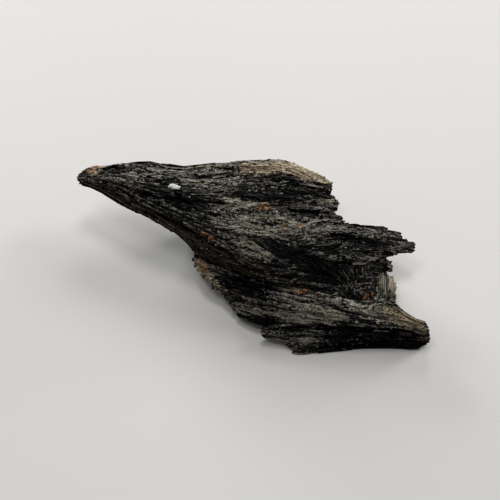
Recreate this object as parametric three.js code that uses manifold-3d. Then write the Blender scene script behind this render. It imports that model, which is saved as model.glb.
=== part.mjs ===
// Black kyanite fan: one specimen of bladed crystals grown together, fanning out from a narrow tip.
// Units are millimetres, +Z up. The specimen lies on its broken underside, which touches the surface at Z = 0.
// The origin is the middle of the footprint's box. The tip points to -X and stands clear of the surface;
// the ragged ends of the blades point to +X.
//
// The solid is made of three slabs of parallel blades and a small cluster of cross-lying crystals, all joined:
//   upper: the main fan, from the raised tip to the long blade ends, with a steep flank on its lower side
//   lower: the flat slab under it
//   bar:   the thick row of blades along the front edge
// A slab is a family of guide curves. Each guide is a list of [x, y, z] on the upper face and follows a fibre;
// t = 0, 1, 2 ... numbers the guides from the back edge to the front edge. Strips are rows of blades between two
// values of t: [t0, t1, x at the left end, x at the right end, height step on top, height step underneath].

import * as THREE from "three";
import { mergeVertices } from "three/addons/utils/BufferGeometryUtils.js";
import Module from "manifold-3d";

const ORIGIN_X = 0.37; // middle of the footprint, in the guides' frame
const ORIGIN_Y = -0.88;
const STEP_GAP = 0.012; // half width, in t, of the wall between two strips
const BREAK_SLANT = 0.55; // how far a broken end leans back at its foot
const HANG_END = 32; // past this x the undersides lie straight below the blades; before it the flank overhangs

const UPPER_GUIDES = [
  [[-53.87, 21.59, 20], [-51.83, 22.89, 20.6], [-49.94, 23.57, 21], [-43.59, 23.89, 21.5], [-36.32, 24.69, 22], [-32.23, 25.18, 22], [-30.32, 23.93, 21.6], [-26.86, 24.13, 21.3], [-22.12, 23.35, 21], [-12.69, 25.25, 20], [-3.18, 27.02, 19], [4.79, 28.48, 18], [10.56, 28.59, 17.2], [15.98, 26.39, 16.6], [21.08, 24.49, 16], [25.82, 21.48, 15.2], [30.25, 19.41, 14.6]],
  [[-53.95, 20.95, 20.4], [-47.25, 21.92, 21.8], [-37.7, 21.27, 22.8], [-28.26, 20.34, 22.5], [-18.86, 20.05, 21.8], [-9.46, 21.07, 20.8], [0, 22.47, 19.8], [9.51, 22.75, 18.8], [17.44, 20.88, 17.6], [25.07, 19.14, 16.2], [30.17, 18.15, 15.4]],
  [[-54, 20.52, 20.6], [-45.55, 20.16, 22.2], [-35.98, 18.39, 23.2], [-26.56, 16.66, 23], [-17.2, 16.06, 22.2], [-7.83, 16.33, 21.2], [1.57, 16.72, 20], [11.03, 16.87, 18.6], [18.95, 16.51, 17.4], [25.31, 16.39, 16.4], [30.09, 16.15, 15.6]],
  [[-54.03, 20.2, 20.7], [-45.47, 18.91, 22.4], [-35.88, 16.04, 23.4], [-26.46, 13.95, 23.2], [-17.12, 12.25, 22.4], [-7.79, 11.84, 21.3], [1.56, 11.91, 20], [10.98, 12.48, 18.5], [18.88, 13.23, 17.3], [27.14, 13.66, 16], [31.61, 13.79, 15.2]],
  [[-54.06, 20, 20.6], [-45.43, 18.17, 22.4], [-35.8, 14.19, 23.4], [-26.38, 11.01, 23.2], [-17.05, 8.59, 22.4], [-7.75, 7.14, 21.2], [1.55, 6.18, 19.8], [10.92, 6.79, 18.2], [20.34, 7.46, 16.8], [28.55, 7.64, 15.6], [37.72, 7.26, 14.4], [47.21, 6.58, 13.4]],
  [[-54.06, 19.84, 20.5], [-45.39, 17.42, 22.4], [-35.73, 12.35, 23.4], [-26.3, 8.16, 23.1], [-16.98, 4.72, 22.2], [-7.72, 2.26, 20.9], [1.55, 1.36, 19.4], [10.85, 1.17, 17.9], [21.8, 2.3, 16.3], [28.42, 3.16, 15.4], [34.42, 3.61, 14.7], [46.73, 3.22, 13.2], [52.11, 2.85, 12.6]],
  [[-54.01, 19.71, 20.3], [-45.35, 16.68, 22.4], [-35.68, 10.95, 23.3], [-26.25, 6.1, 22.9], [-16.94, 1.78, 21.7], [-7.69, -1.68, 20.3], [1.54, -3.19, 18.6], [10.81, -3.27, 17.2], [21.7, -2.63, 15.8], [34.27, -0.99, 14.2], [46.6, -0.1, 12.8], [51.98, 0.07, 12.2]],
  [[-53.94, 19.64, 20], [-45.34, 16.06, 22.2], [-35.66, 10.04, 23], [-26.25, 5.2, 22.3], [-16.95, 0.82, 20.9], [-7.69, -3.54, 19.2], [1.54, -7.18, 17.2], [7.7, -8.62, 16], [21.61, -8.9, 14.3], [32.56, -7.53, 12.8], [43.91, -6.38, 11.4], [49.87, -6.16, 11]],
  [[-53.91, 19.85, 19.2], [-49.7, 17.9, 20.2], [-43.84, 14.24, 20.4], [-35.88, 9.83, 19.8], [-28.06, 6.5, 18.2], [-19.33, 1.81, 15.6], [-15.59, -0.87, 14], [-9.33, -4.25, 13], [-3.1, -7.35, 12.8], [3.71, -9.59, 13], [9.26, -11.36, 13], [15.43, -12.54, 12.6], [23.21, -12.72, 11], [29.49, -12.31, 9.6], [40.48, -11.66, 8.4]],
  [[-53.84, 20.32, 18], [-49.95, 18.67, 18], [-44.08, 14.69, 17.8], [-37.67, 10.81, 17.2], [-31.37, 8.91, 16.4], [-25.1, 5.68, 14.4], [-19.5, 2.89, 11.6], [-16.37, -0.88, 9], [-12.57, -3.18, 8.6], [-6.26, -5.93, 9], [1.56, -8.7, 9.8], [9.31, -11.4, 10.2], [18.58, -14.01, 9.8], [27.84, -16.56, 9], [40.18, -18.05, 8.5]],
];

const UPPER_STRIPS = [
  [0, 0.3, -53.76, 25.65, 0.37, 0],
  [0.3, 0.62, -53.9, 25.87, 0.37, 0.7],
  [0.62, 0.95, -53.97, 25.42, 0.02, 0.2],
  [0.95, 1.3, -54.01, 24.59, -0.26, 1.1],
  [1.3, 1.62, -54.05, 24.08, -0.54, 0],
  [1.62, 1.88, -54.07, 23.1, -0.14, 0.5],
  [1.88, 2.12, -54.06, 21.65, -0.11, 0.9],
  [2.12, 2.45, -54.08, 26.24, -0.55, 0],
  [2.45, 2.8, -54.1, 27.17, -0.54, 0],
  [2.8, 3.12, -54.09, 27.3, 0.6, 0.7],
  [3.12, 3.4, -54.12, 26.46, 0.18, 0.2],
  [3.4, 3.62, -54.12, 24.83, -0.32, 1.1],
  [3.62, 3.8, -54.12, 23.69, -0.08, 0],
  [3.8, 4.1, -54.12, 28.72, 0.57, 0.5],
  [4.1, 4.42, -54.12, 28.93, 0.48, 0.9],
  [4.42, 4.72, -54.12, 42.69, 0.41, 0],
  [4.72, 5.05, -54.12, 46.91, -0.13, 0],
  [5.05, 5.4, -54.13, 47.18, -0.01, 0.7],
  [5.4, 5.72, -54.1, 48.71, 0.21, 0.2],
  [5.72, 6.1, -54.07, 51.27, -0.53, 1.1],
  [6.1, 6.25, -54.05, 50.68, 0.07, 0],
  [6.25, 6.4, -54.02, 45.59, -0.27, 0.5],
  [6.4, 6.55, -54.02, 43.04, 0.46, 0.9],
  [6.55, 6.78, -54, 41.11, -0.52, 0],
  [6.78, 6.92, -53.97, 42.03, 0.22, 0],
  [6.92, 7.1, -53.94, 43.91, 0.44, 0.7],
  [7.1, 7.25, -53.93, 42.49, -0.33, 0.2],
  [7.25, 7.6, -53.92, 40.14, 0.47, 1.1],
  [7.6, 8, -53.89, 39.52, 0.45, 0],
  [8, 8.5, -53.85, 39.15, -0.58, 0.5],
  [8.5, 9, -53.74, 38.7, 0.25, 0.9],
];

const LOWER_GUIDES = [
  [[-16.41, -1.16, 7.6], [-13.83, -3.07, 8.4], [-7.82, -5.68, 9.2], [-1.56, -8.16, 9.8], [4.66, -10.16, 10.2], [12.39, -12.8, 10.5], [21.62, -15.51, 10.3], [29.3, -17.69, 9.8], [35.49, -18.24, 9.2], [40.16, -17.61, 9], [42.66, -16.99, 9], [45.27, -19.79, 9.3], [47.88, -22.69, 9.4], [51.15, -24.41, 9.4], [54.5, -25.41, 9]],
  [[-17.51, -3.14, 6.6], [-13.17, -6.09, 8], [-6.24, -9.04, 8.8], [1.55, -11.55, 9.5], [9.29, -13.94, 10], [18.51, -16.56, 10.3], [27.68, -19.3, 10.2], [36.84, -21.27, 10], [42.38, -21.1, 10], [46.02, -22.38, 9.8], [50.51, -24.81, 9.5], [54.44, -26.13, 9.2]],
  [[-16.05, -5.8, 6.2], [-10.01, -9.21, 7.5], [-3.11, -12.01, 8.4], [4.65, -14.57, 9.2], [12.35, -16.99, 9.8], [21.53, -19.3, 10.2], [30.68, -21.55, 10.2], [38.31, -22.95, 9.9], [45.93, -24.22, 9.7], [54.41, -26.66, 9.1]],
  [[-12.54, -9.71, 5.8], [-6.86, -12.67, 7], [0, -15.27, 7.9], [7.72, -17.86, 8.8], [15.39, -19.97, 9.5], [24.54, -21.96, 10], [33.69, -23.34, 10], [42.85, -24.57, 9.7], [54.4, -27.24, 8.9]],
  [[-8.76, -13.3, 5.2], [-3.11, -15.95, 6.2], [3.1, -18.41, 7.2], [10.79, -20.78, 8.4], [18.42, -22.58, 9.2], [27.57, -24, 9.6], [36.72, -24.86, 9.6], [45.89, -25.56, 9.3], [54.41, -27.6, 8.6]],
  [[-5.93, -16.23, 4.4], [-1.24, -18.52, 5.4], [4.64, -20.49, 6.5], [10.78, -22.45, 7.6], [18.42, -24, 8.6], [27.56, -25.12, 9.1], [36.71, -25.85, 9.2], [45.89, -26.39, 8.9], [54.42, -27.97, 8.3]],
  [[-4.37, -18.6, 3.2], [-1.24, -20.31, 3.8], [2.48, -21.84, 4.4], [6.19, -22.77, 5.2], [10.79, -23.93, 6.3], [18.43, -25.21, 7.6], [27.58, -26.03, 8.2], [36.74, -26.6, 8.3], [45.93, -27.01, 8.1], [54.47, -28.3, 7.6]],
];

const LOWER_STRIPS = [
  [0, 0.35, -16.24, 53.43, -0.35, 0],
  [0.35, 0.7, -17.03, 53.71, 0, 0.8],
  [0.7, 1.05, -17.51, 53.84, -0.04, 0.3],
  [1.05, 1.4, -17.02, 53.98, -0.21, 0],
  [1.4, 1.8, -16.21, 54.12, -0.12, 1],
  [1.8, 2.2, -15.09, 54.11, 0.21, 0],
  [2.2, 2.6, -14.13, 54.26, -0.13, 0.8],
  [2.6, 3, -12.86, 54.25, -0.25, 0.3],
  [3, 3.4, -11.59, 54.4, 0.14, 0],
  [3.4, 3.8, -10.01, 54.4, -0.04, 1],
  [3.8, 4.2, -8.6, 54.41, 0.21, 0],
  [4.2, 4.6, -7.18, 54.41, -0.19, 0.8],
  [4.6, 5, -6.24, 54.42, -0.13, 0.3],
  [5, 5.4, -5.62, 54.43, 0.21, 0],
  [5.4, 5.7, -4.99, 54.3, 0, 1],
  [5.7, 6, -3.43, 54.16, 0, 0],
];

const BAR_GUIDES = [
  [[3.69, -26.15, 6.4], [6.15, -25.7, 7], [9.21, -25.42, 7.6], [13.8, -25.57, 8.3], [21.43, -25.82, 8.8], [30.58, -26.32, 9.1], [39.74, -26.66, 9.1], [47.39, -26.9, 8.9], [51.99, -27.09, 8.6], [54.63, -27.76, 7.9]],
  [[3.54, -26.16, 5.4], [7.69, -26.41, 5.9], [12.29, -26.42, 6.6], [18.41, -26.68, 7.1], [27.59, -27, 7.4], [36.78, -27.22, 7.5], [45.98, -27.46, 7.3], [54.76, -28.09, 6.5]],
  [[4.02, -26.61, 3.9], [7.71, -27.28, 4.2], [12.32, -27.7, 4.7], [18.46, -28.02, 5], [27.68, -28.12, 5.2], [36.9, -28.17, 5.3], [46.11, -28.28, 5.3], [54.88, -28.49, 5.1]],
  [[5.11, -27.17, 2.6], [8.66, -28.07, 2.6], [12.35, -28.94, 2.7], [16.97, -29.4, 2.8], [27.77, -28.89, 3], [37.03, -28.5, 3.2], [46.28, -28.55, 3.3], [54.25, -28.84, 3.6]],
  [[6.51, -27.37, 1.6], [10.53, -28.6, 1.3], [14.54, -30.36, 0.9], [21.67, -29.88, 0.9], [27.88, -29.3, 0.9], [37.18, -28.76, 1], [46.47, -28.84, 1.1], [50.44, -29.2, 1.4], [53.8, -29.01, 2]],
];

const BAR_STRIPS = [
  [0, 0.4, 4.15, 54.5, -0.11, 0.3],
  [0.4, 0.9, 3.54, 54.68, -0.19, 0],
  [0.9, 1.4, 3.7, 54.81, 0.17, 0.6],
  [1.4, 1.9, 3.86, 54.87, -0.17, 0],
  [1.9, 2.4, 4.17, 54.88, 0.14, 0.3],
  [2.4, 2.9, 4.64, 54.76, -0.05, 0],
  [2.9, 3.4, 12.2, 54.4, 0.18, 0.6],
  [3.4, 3.75, 12.6, 53.88, -0.04, 0],
  [3.75, 4, 13.2, 52.86, 0.17, 0.3],
];

// Heights of the undersides: rows of [x, z...] with one z for each t in the head row. Below 0 means it rests.
const UPPER_FOOT = {
  t: [0, 2, 4, 5, 6, 7, 9],
  rows: [
    [-54, 17, 16.5, 16.4, 16.4, 16.4, 16.5, 16.8],
    [-45, 15.8, 14.8, 14.2, 14, 14, 14, 14.6],
    [-32, 14, 11.5, 9.8, 9.4, 9.2, 9.2, 9.8],
    [-19, 11.5, 6.5, 3, 2.2, 2, 2, 2.6],
    [-9.5, 11, 4, 0.4, -0.5, -0.5, -0.5, 0],
    [0, 10.5, 3, -0.5, -0.8, -0.8, -0.8, -0.8],
    [9.5, 10, 2.5, -0.5, -0.8, -0.8, -0.8, -0.8],
    [18, 9.5, 4.5, 1.5, 0, -0.5, -0.5, -0.5],
    [22, 12.8, 12.4, 10.5, 5, 1, 0, -0.3],
    [28.5, 12.5, 12.2, 11.2, 8, 6, 3, 0.3],
    [38, 11, 11.4, 11.6, 11, 10, 7, 2],
    [44, 10, 11, 11.6, 11.2, 10.8, 10, 4],
    [52, 9, 10, 11.4, 11.2, 10.8, 9.5, 6],
  ],
};
const LOWER_FOOT = {
  t: [0, 3, 6],
  rows: [
    [-18, 4.6, 4.2, 3.2],
    [-10, 2.6, 3.4, 3],
    [0, -0.2, 1.6, 2.4],
    [8, -0.8, -0.2, 1.4],
    [16, -0.8, -0.8, 0],
    [40, 0, -0.5, -0.8],
    [55, 1, 0.6, 0.3],
  ],
};
const BAR_FOOT = {
  t: [0, 4],
  rows: [
    [3, 4.4, 3.4],
    [9, 3.8, 2.8],
    [12.5, 3.2, 2.2],
    [14.5, -0.8, -0.8],
    [40, -0.8, -0.8],
    [55, 0.4, 0.3],
  ],
};

// Crystals of the cross-lying cluster by the right edge, and single blades that stand proud of the slabs:
// [x, y, z] of each end on the blade's own axis, then width, depth and roll in degrees.
const CROSS_CRYSTALS = [
  [[38.6, -6.6, 8.6], [38.2, -16.6, 6.4], 2.6, 5.6, -8],
  [[40.6, -7.2, 9.4], [40.4, -17.2, 6.6], 2.6, 6.4, 4],
  [[42.6, -8.3, 9], [42.2, -16.4, 6.2], 2.4, 6, 10],
  [[44, -9.9, 8], [43.4, -15.2, 6], 1.8, 5.2, -6],
];
const PROUD_BLADES = [
  [[-49, 23, 19.2], [-34, 24.2, 20.8], 1.6, 2.4, 12],
  [[-12, 5.4, 20.8], [22, 3.2, 15.4], 2.2, 2.4, -10],
  [[-4, 13.6, 19.4], [20, 14.6, 16.2], 2.2, 2.6, 8],
  [[4, -6.6, 15.6], [43.4, -6.4, 10.4], 1.7, 1.9, 15],
  [[8, 0.4, 16.6], [50.6, 0.4, 10.8], 2.2, 2.6, -6],
  [[6, -27.3, 3.4], [53, -28.2, 4.2], 1.8, 2.6, 6],
];

// A smooth curve through [x, value] pairs that never overshoots (Fritsch-Carlson).
function monotone(xs, vs) {
  const n = xs.length;
  const d = [];
  for (let i = 0; i < n - 1; i++) d.push((vs[i + 1] - vs[i]) / (xs[i + 1] - xs[i]));
  const m = [d[0]];
  for (let i = 1; i < n - 1; i++) m.push(d[i - 1] * d[i] <= 0 ? 0 : (2 * d[i - 1] * d[i]) / (d[i - 1] + d[i]));
  m.push(d[n - 2]);
  return (x) => {
    const c = Math.min(Math.max(x, xs[0]), xs[n - 1]);
    let i = 0;
    while (i < n - 2 && c > xs[i + 1]) i++;
    const h = xs[i + 1] - xs[i];
    const u = (c - xs[i]) / h;
    const inside =
      (2 * u ** 3 - 3 * u ** 2 + 1) * vs[i] +
      (u ** 3 - 2 * u ** 2 + u) * h * m[i] +
      (3 * u ** 2 - 2 * u ** 3) * vs[i + 1] +
      (u ** 3 - u ** 2) * h * m[i + 1];
    return inside + (x < c ? (x - c) * m[0] : x > c ? (x - c) * m[n - 1] : 0);
  };
}

const lerp = (a, b, f) => a + (b - a) * f;

// The upper face of a slab at x and t, as [y, z].
function faceOf(guides) {
  const curves = guides.map((g) => ({
    y: monotone(g.map((p) => p[0]), g.map((p) => p[1])),
    z: monotone(g.map((p) => p[0]), g.map((p) => p[2])),
  }));
  return (x, t) => {
    const k = Math.min(Math.max(Math.floor(t), 0), curves.length - 2);
    const f = t - k;
    return [lerp(curves[k].y(x), curves[k + 1].y(x), f), lerp(curves[k].z(x), curves[k + 1].z(x), f)];
  };
}

// The height of a slab's underside at x and t.
function footOf(table) {
  const xs = table.rows.map((r) => r[0]);
  const columns = table.t.map((_, j) => monotone(xs, table.rows.map((r) => r[j + 1])));
  return (x, t) => {
    let j = 0;
    while (j < table.t.length - 2 && t > table.t[j + 1]) j++;
    const f = Math.min(Math.max((t - table.t[j]) / (table.t[j + 1] - table.t[j]), 0), 1);
    return lerp(columns[j](x), columns[j + 1](x), f);
  };
}

// How far the upper slab's underside draws back from its front edge: the raised tip narrows downwards like a keel.
const keel = (x) => lerp(0.27, 0.03, THREE.MathUtils.smoothstep(x, -17, -6));

// A box whose grid lines are moved onto a slab of blades: along the fibres, across the strips, top and underside.
function slab(guides, strips, footTable, steps, insetBack, insetFront) {
  const face = faceOf(guides);
  const foot = footOf(footTable);
  const last = guides.length - 1;
  const lines = [];
  strips.forEach(([t0, t1, x0, x1, up, down], i) => {
    const tilt = i % 2 ? 0.16 : -0.12;
    lines.push({ t: i ? t0 + STEP_GAP : t0, x0, x1, up: up + tilt, down });
    lines.push({ t: i < strips.length - 1 ? t1 - STEP_GAP : t1, x0, x1, up: up - tilt, down });
  });
  const n = lines.length - 1;
  const g = new THREE.BoxGeometry(1, 1, 1, steps, n, 1);
  const p = g.attributes.position;
  for (let i = 0; i < p.count; i++) {
    const u = p.getX(i) + 0.5;
    const line = lines[n - Math.round((p.getY(i) + 0.5) * n)];
    const onTop = p.getZ(i) > 0;
    const slant = onTop ? 0 : BREAK_SLANT;
    const x = lerp(line.x0 + slant, line.x1 - slant, u);
    const [y, z] = face(x, line.t);
    const width = face(x, 0)[0] - face(x, last)[0];
    const taper = Math.min(1, width / 14); // steps shrink where the slab narrows to its tip
    if (onTop) {
      const rim = line.t === 0 || line.t === last ? 0.35 * taper : 0;
      p.setXYZ(i, x, y, z + line.up * taper - rim);
    } else {
      const back = face(x, 0)[0] - insetBack * width;
      const front = face(x, last)[0] + insetFront(x) * width;
      const hang = 1 - THREE.MathUtils.smoothstep(x, HANG_END - 18, HANG_END);
      const low = foot(x, line.t) + line.down * taper;
      const roof = z + line.up * taper;
      p.setXYZ(i, x, lerp(y, lerp(back, front, line.t / last), hang), Math.max(0, Math.min(low, roof - 0.7)));
    }
  }
  return g;
}

// One six-sided crystal between two points, as an extruded section laid along its axis.
function crystal([from, to, width, depth, roll]) {
  const a = new THREE.Vector3(...from);
  const b = new THREE.Vector3(...to);
  const length = a.distanceTo(b);
  const w = width / 2;
  const h = depth / 2;
  const section = new THREE.Shape([
    new THREE.Vector2(-w, -h * 0.7),
    new THREE.Vector2(-w * 0.5, -h),
    new THREE.Vector2(w * 0.7, -h * 0.95),
    new THREE.Vector2(w, h * 0.6),
    new THREE.Vector2(w * 0.4, h),
    new THREE.Vector2(-w * 0.8, h * 0.85),
  ]);
  const g = new THREE.ExtrudeGeometry(section, { depth: length, steps: 1, bevelEnabled: false });
  const along = b.clone().sub(a).normalize();
  const side = new THREE.Vector3(0, 0, 1).cross(along).normalize();
  const up = along.clone().cross(side);
  const turn = THREE.MathUtils.degToRad(roll);
  const sx = side.clone().multiplyScalar(Math.cos(turn)).addScaledVector(up, Math.sin(turn));
  const sy = along.clone().cross(sx);
  g.applyMatrix4(new THREE.Matrix4().makeBasis(sx, sy, along).setPosition(a));
  return g;
}

const wasm = await Module();
wasm.setup();

function solidOf(geometry) {
  const plain = new THREE.BufferGeometry().setAttribute(
    "position",
    (geometry.index ? geometry.toNonIndexed() : geometry).getAttribute("position"),
  );
  const merged = mergeVertices(plain, 1e-4);
  return new wasm.Manifold(
    new wasm.Mesh({
      numProp: 3,
      vertProperties: merged.attributes.position.array,
      triVerts: new Uint32Array(merged.index.array),
    }),
  );
}

function geometryOf(solid) {
  const mesh = solid.getMesh();
  const positions = new Float32Array((mesh.vertProperties.length / mesh.numProp) * 3);
  for (let i = 0; i < positions.length / 3; i++)
    for (let k = 0; k < 3; k++) positions[3 * i + k] = mesh.vertProperties[mesh.numProp * i + k];
  const g = new THREE.BufferGeometry();
  g.setAttribute("position", new THREE.BufferAttribute(positions, 3));
  g.setIndex(new THREE.BufferAttribute(new Uint32Array(mesh.triVerts), 1));
  return g;
}

// Joining the slabs and crystals into the one grown body.
let body = solidOf(slab(UPPER_GUIDES, UPPER_STRIPS, UPPER_FOOT, 16, 0.16, keel));
body = body.add(solidOf(slab(LOWER_GUIDES, LOWER_STRIPS, LOWER_FOOT, 14, -0.45, () => 0.04)));
body = body.add(solidOf(slab(BAR_GUIDES, BAR_STRIPS, BAR_FOOT, 10, -0.5, () => 0.1)));
for (const c of [...CROSS_CRYSTALS, ...PROUD_BLADES]) body = body.add(solidOf(crystal(c)));

const geometry = geometryOf(body);
geometry.translate(-ORIGIN_X, -ORIGIN_Y, 0);
const plainFaces = geometry.toNonIndexed();
plainFaces.computeVertexNormals();

const kyanite = new THREE.MeshStandardMaterial({ color: 0x26262a, roughness: 0.55, metalness: 0.0, flatShading: true });
const fan = new THREE.Mesh(plainFaces, kyanite);
fan.name = "kyanite_fan";

const part = new THREE.Group();
part.name = "black_kyanite_fan";
part.add(fan);

export default part;
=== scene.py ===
# Black kyanite fan: the looks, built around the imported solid. Lengths below are millimetres until world() turns
# them into the frame's metres. A slab of blades is a family of guide curves: x runs along the fibres, t counts the
# guides from the back edge to the front edge, and v goes from 0 on the upper face to 1 on the underside.
import math

import bpy
import numpy as np
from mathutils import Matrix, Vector

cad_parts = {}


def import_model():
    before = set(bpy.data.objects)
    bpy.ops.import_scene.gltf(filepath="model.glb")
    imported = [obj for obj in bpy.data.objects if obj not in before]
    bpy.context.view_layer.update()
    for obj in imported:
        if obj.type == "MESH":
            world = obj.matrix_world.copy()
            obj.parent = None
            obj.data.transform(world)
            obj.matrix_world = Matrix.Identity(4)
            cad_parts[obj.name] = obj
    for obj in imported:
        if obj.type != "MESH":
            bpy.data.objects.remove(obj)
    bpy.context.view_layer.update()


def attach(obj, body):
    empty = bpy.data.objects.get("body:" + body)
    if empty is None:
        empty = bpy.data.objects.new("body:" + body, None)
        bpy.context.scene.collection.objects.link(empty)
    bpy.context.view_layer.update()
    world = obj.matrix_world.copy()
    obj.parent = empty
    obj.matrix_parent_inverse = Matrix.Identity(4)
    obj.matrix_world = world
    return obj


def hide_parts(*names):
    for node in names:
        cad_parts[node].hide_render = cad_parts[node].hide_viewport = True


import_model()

ORIGIN = np.array([0.37, -0.88, 0.0])  # middle of the footprint, in the guides' frame


def world(p):
    return (np.asarray(p, float) - ORIGIN) * 0.001


# ---------------------------------------------------------------- the guides
UPPER_GUIDES = [
    [(-53.87, 21.59, 20), (-51.83, 22.89, 20.6), (-49.94, 23.57, 21), (-43.59, 23.89, 21.5), (-36.32, 24.69, 22), (-32.23, 25.18, 22), (-30.32, 23.93, 21.6), (-26.86, 24.13, 21.3), (-22.12, 23.35, 21), (-12.69, 25.25, 20), (-3.18, 27.02, 19), (4.79, 28.48, 18), (10.56, 28.59, 17.2), (15.98, 26.39, 16.6), (21.08, 24.49, 16), (25.82, 21.48, 15.2), (30.25, 19.41, 14.6)],
    [(-53.95, 20.95, 20.4), (-47.25, 21.92, 21.8), (-37.7, 21.27, 22.8), (-28.26, 20.34, 22.5), (-18.86, 20.05, 21.8), (-9.46, 21.07, 20.8), (0, 22.47, 19.8), (9.51, 22.75, 18.8), (17.44, 20.88, 17.6), (25.07, 19.14, 16.2), (30.17, 18.15, 15.4)],
    [(-54, 20.52, 20.6), (-45.55, 20.16, 22.2), (-35.98, 18.39, 23.2), (-26.56, 16.66, 23), (-17.2, 16.06, 22.2), (-7.83, 16.33, 21.2), (1.57, 16.72, 20), (11.03, 16.87, 18.6), (18.95, 16.51, 17.4), (25.31, 16.39, 16.4), (30.09, 16.15, 15.6)],
    [(-54.03, 20.2, 20.7), (-45.47, 18.91, 22.4), (-35.88, 16.04, 23.4), (-26.46, 13.95, 23.2), (-17.12, 12.25, 22.4), (-7.79, 11.84, 21.3), (1.56, 11.91, 20), (10.98, 12.48, 18.5), (18.88, 13.23, 17.3), (27.14, 13.66, 16), (31.61, 13.79, 15.2)],
    [(-54.06, 20, 20.6), (-45.43, 18.17, 22.4), (-35.8, 14.19, 23.4), (-26.38, 11.01, 23.2), (-17.05, 8.59, 22.4), (-7.75, 7.14, 21.2), (1.55, 6.18, 19.8), (10.92, 6.79, 18.2), (20.34, 7.46, 16.8), (28.55, 7.64, 15.6), (37.72, 7.26, 14.4), (47.21, 6.58, 13.4)],
    [(-54.06, 19.84, 20.5), (-45.39, 17.42, 22.4), (-35.73, 12.35, 23.4), (-26.3, 8.16, 23.1), (-16.98, 4.72, 22.2), (-7.72, 2.26, 20.9), (1.55, 1.36, 19.4), (10.85, 1.17, 17.9), (21.8, 2.3, 16.3), (28.42, 3.16, 15.4), (34.42, 3.61, 14.7), (46.73, 3.22, 13.2), (52.11, 2.85, 12.6)],
    [(-54.01, 19.71, 20.3), (-45.35, 16.68, 22.4), (-35.68, 10.95, 23.3), (-26.25, 6.1, 22.9), (-16.94, 1.78, 21.7), (-7.69, -1.68, 20.3), (1.54, -3.19, 18.6), (10.81, -3.27, 17.2), (21.7, -2.63, 15.8), (34.27, -0.99, 14.2), (46.6, -0.1, 12.8), (51.98, 0.07, 12.2)],
    [(-53.94, 19.64, 20), (-45.34, 16.06, 22.2), (-35.66, 10.04, 23), (-26.25, 5.2, 22.3), (-16.95, 0.82, 20.9), (-7.69, -3.54, 19.2), (1.54, -7.18, 17.2), (7.7, -8.62, 16), (21.61, -8.9, 14.3), (32.56, -7.53, 12.8), (43.91, -6.38, 11.4), (49.87, -6.16, 11)],
    [(-53.91, 19.85, 19.2), (-49.7, 17.9, 20.2), (-43.84, 14.24, 20.4), (-35.88, 9.83, 19.8), (-28.06, 6.5, 18.2), (-19.33, 1.81, 15.6), (-15.59, -0.87, 14), (-9.33, -4.25, 13), (-3.1, -7.35, 12.8), (3.71, -9.59, 13), (9.26, -11.36, 13), (15.43, -12.54, 12.6), (23.21, -12.72, 11), (29.49, -12.31, 9.6), (40.48, -11.66, 8.4)],
    [(-53.84, 20.32, 18), (-49.95, 18.67, 18), (-44.08, 14.69, 17.8), (-37.67, 10.81, 17.2), (-31.37, 8.91, 16.4), (-25.1, 5.68, 14.4), (-19.5, 2.89, 11.6), (-16.37, -0.88, 9), (-12.57, -3.18, 8.6), (-6.26, -5.93, 9), (1.56, -8.7, 9.8), (9.31, -11.4, 10.2), (18.58, -14.01, 9.8), (27.84, -16.56, 9), (40.18, -18.05, 8.5)],
]
UPPER_STRIPS = [
    (0, 0.3, -53.76, 25.65, 0.37, 0),
    (0.3, 0.62, -53.9, 25.87, 0.37, 0.7),
    (0.62, 0.95, -53.97, 25.42, 0.02, 0.2),
    (0.95, 1.3, -54.01, 24.59, -0.26, 1.1),
    (1.3, 1.62, -54.05, 24.08, -0.54, 0),
    (1.62, 1.88, -54.07, 23.1, -0.14, 0.5),
    (1.88, 2.12, -54.06, 21.65, -0.11, 0.9),
    (2.12, 2.45, -54.08, 26.24, -0.55, 0),
    (2.45, 2.8, -54.1, 27.17, -0.54, 0),
    (2.8, 3.12, -54.09, 27.3, 0.6, 0.7),
    (3.12, 3.4, -54.12, 26.46, 0.18, 0.2),
    (3.4, 3.62, -54.12, 24.83, -0.32, 1.1),
    (3.62, 3.8, -54.12, 23.69, -0.08, 0),
    (3.8, 4.1, -54.12, 28.72, 0.57, 0.5),
    (4.1, 4.42, -54.12, 28.93, 0.48, 0.9),
    (4.42, 4.72, -54.12, 42.69, 0.41, 0),
    (4.72, 5.05, -54.12, 46.91, -0.13, 0),
    (5.05, 5.4, -54.13, 47.18, -0.01, 0.7),
    (5.4, 5.72, -54.1, 48.71, 0.21, 0.2),
    (5.72, 6.1, -54.07, 51.27, -0.53, 1.1),
    (6.1, 6.25, -54.05, 50.68, 0.07, 0),
    (6.25, 6.4, -54.02, 45.59, -0.27, 0.5),
    (6.4, 6.55, -54.02, 43.04, 0.46, 0.9),
    (6.55, 6.78, -54, 41.11, -0.52, 0),
    (6.78, 6.92, -53.97, 42.03, 0.22, 0),
    (6.92, 7.1, -53.94, 43.91, 0.44, 0.7),
    (7.1, 7.25, -53.93, 42.49, -0.33, 0.2),
    (7.25, 7.6, -53.92, 40.14, 0.47, 1.1),
    (7.6, 8, -53.89, 39.52, 0.45, 0),
    (8, 8.5, -53.85, 39.15, -0.58, 0.5),
    (8.5, 9, -53.74, 38.7, 0.25, 0.9),
]
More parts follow.
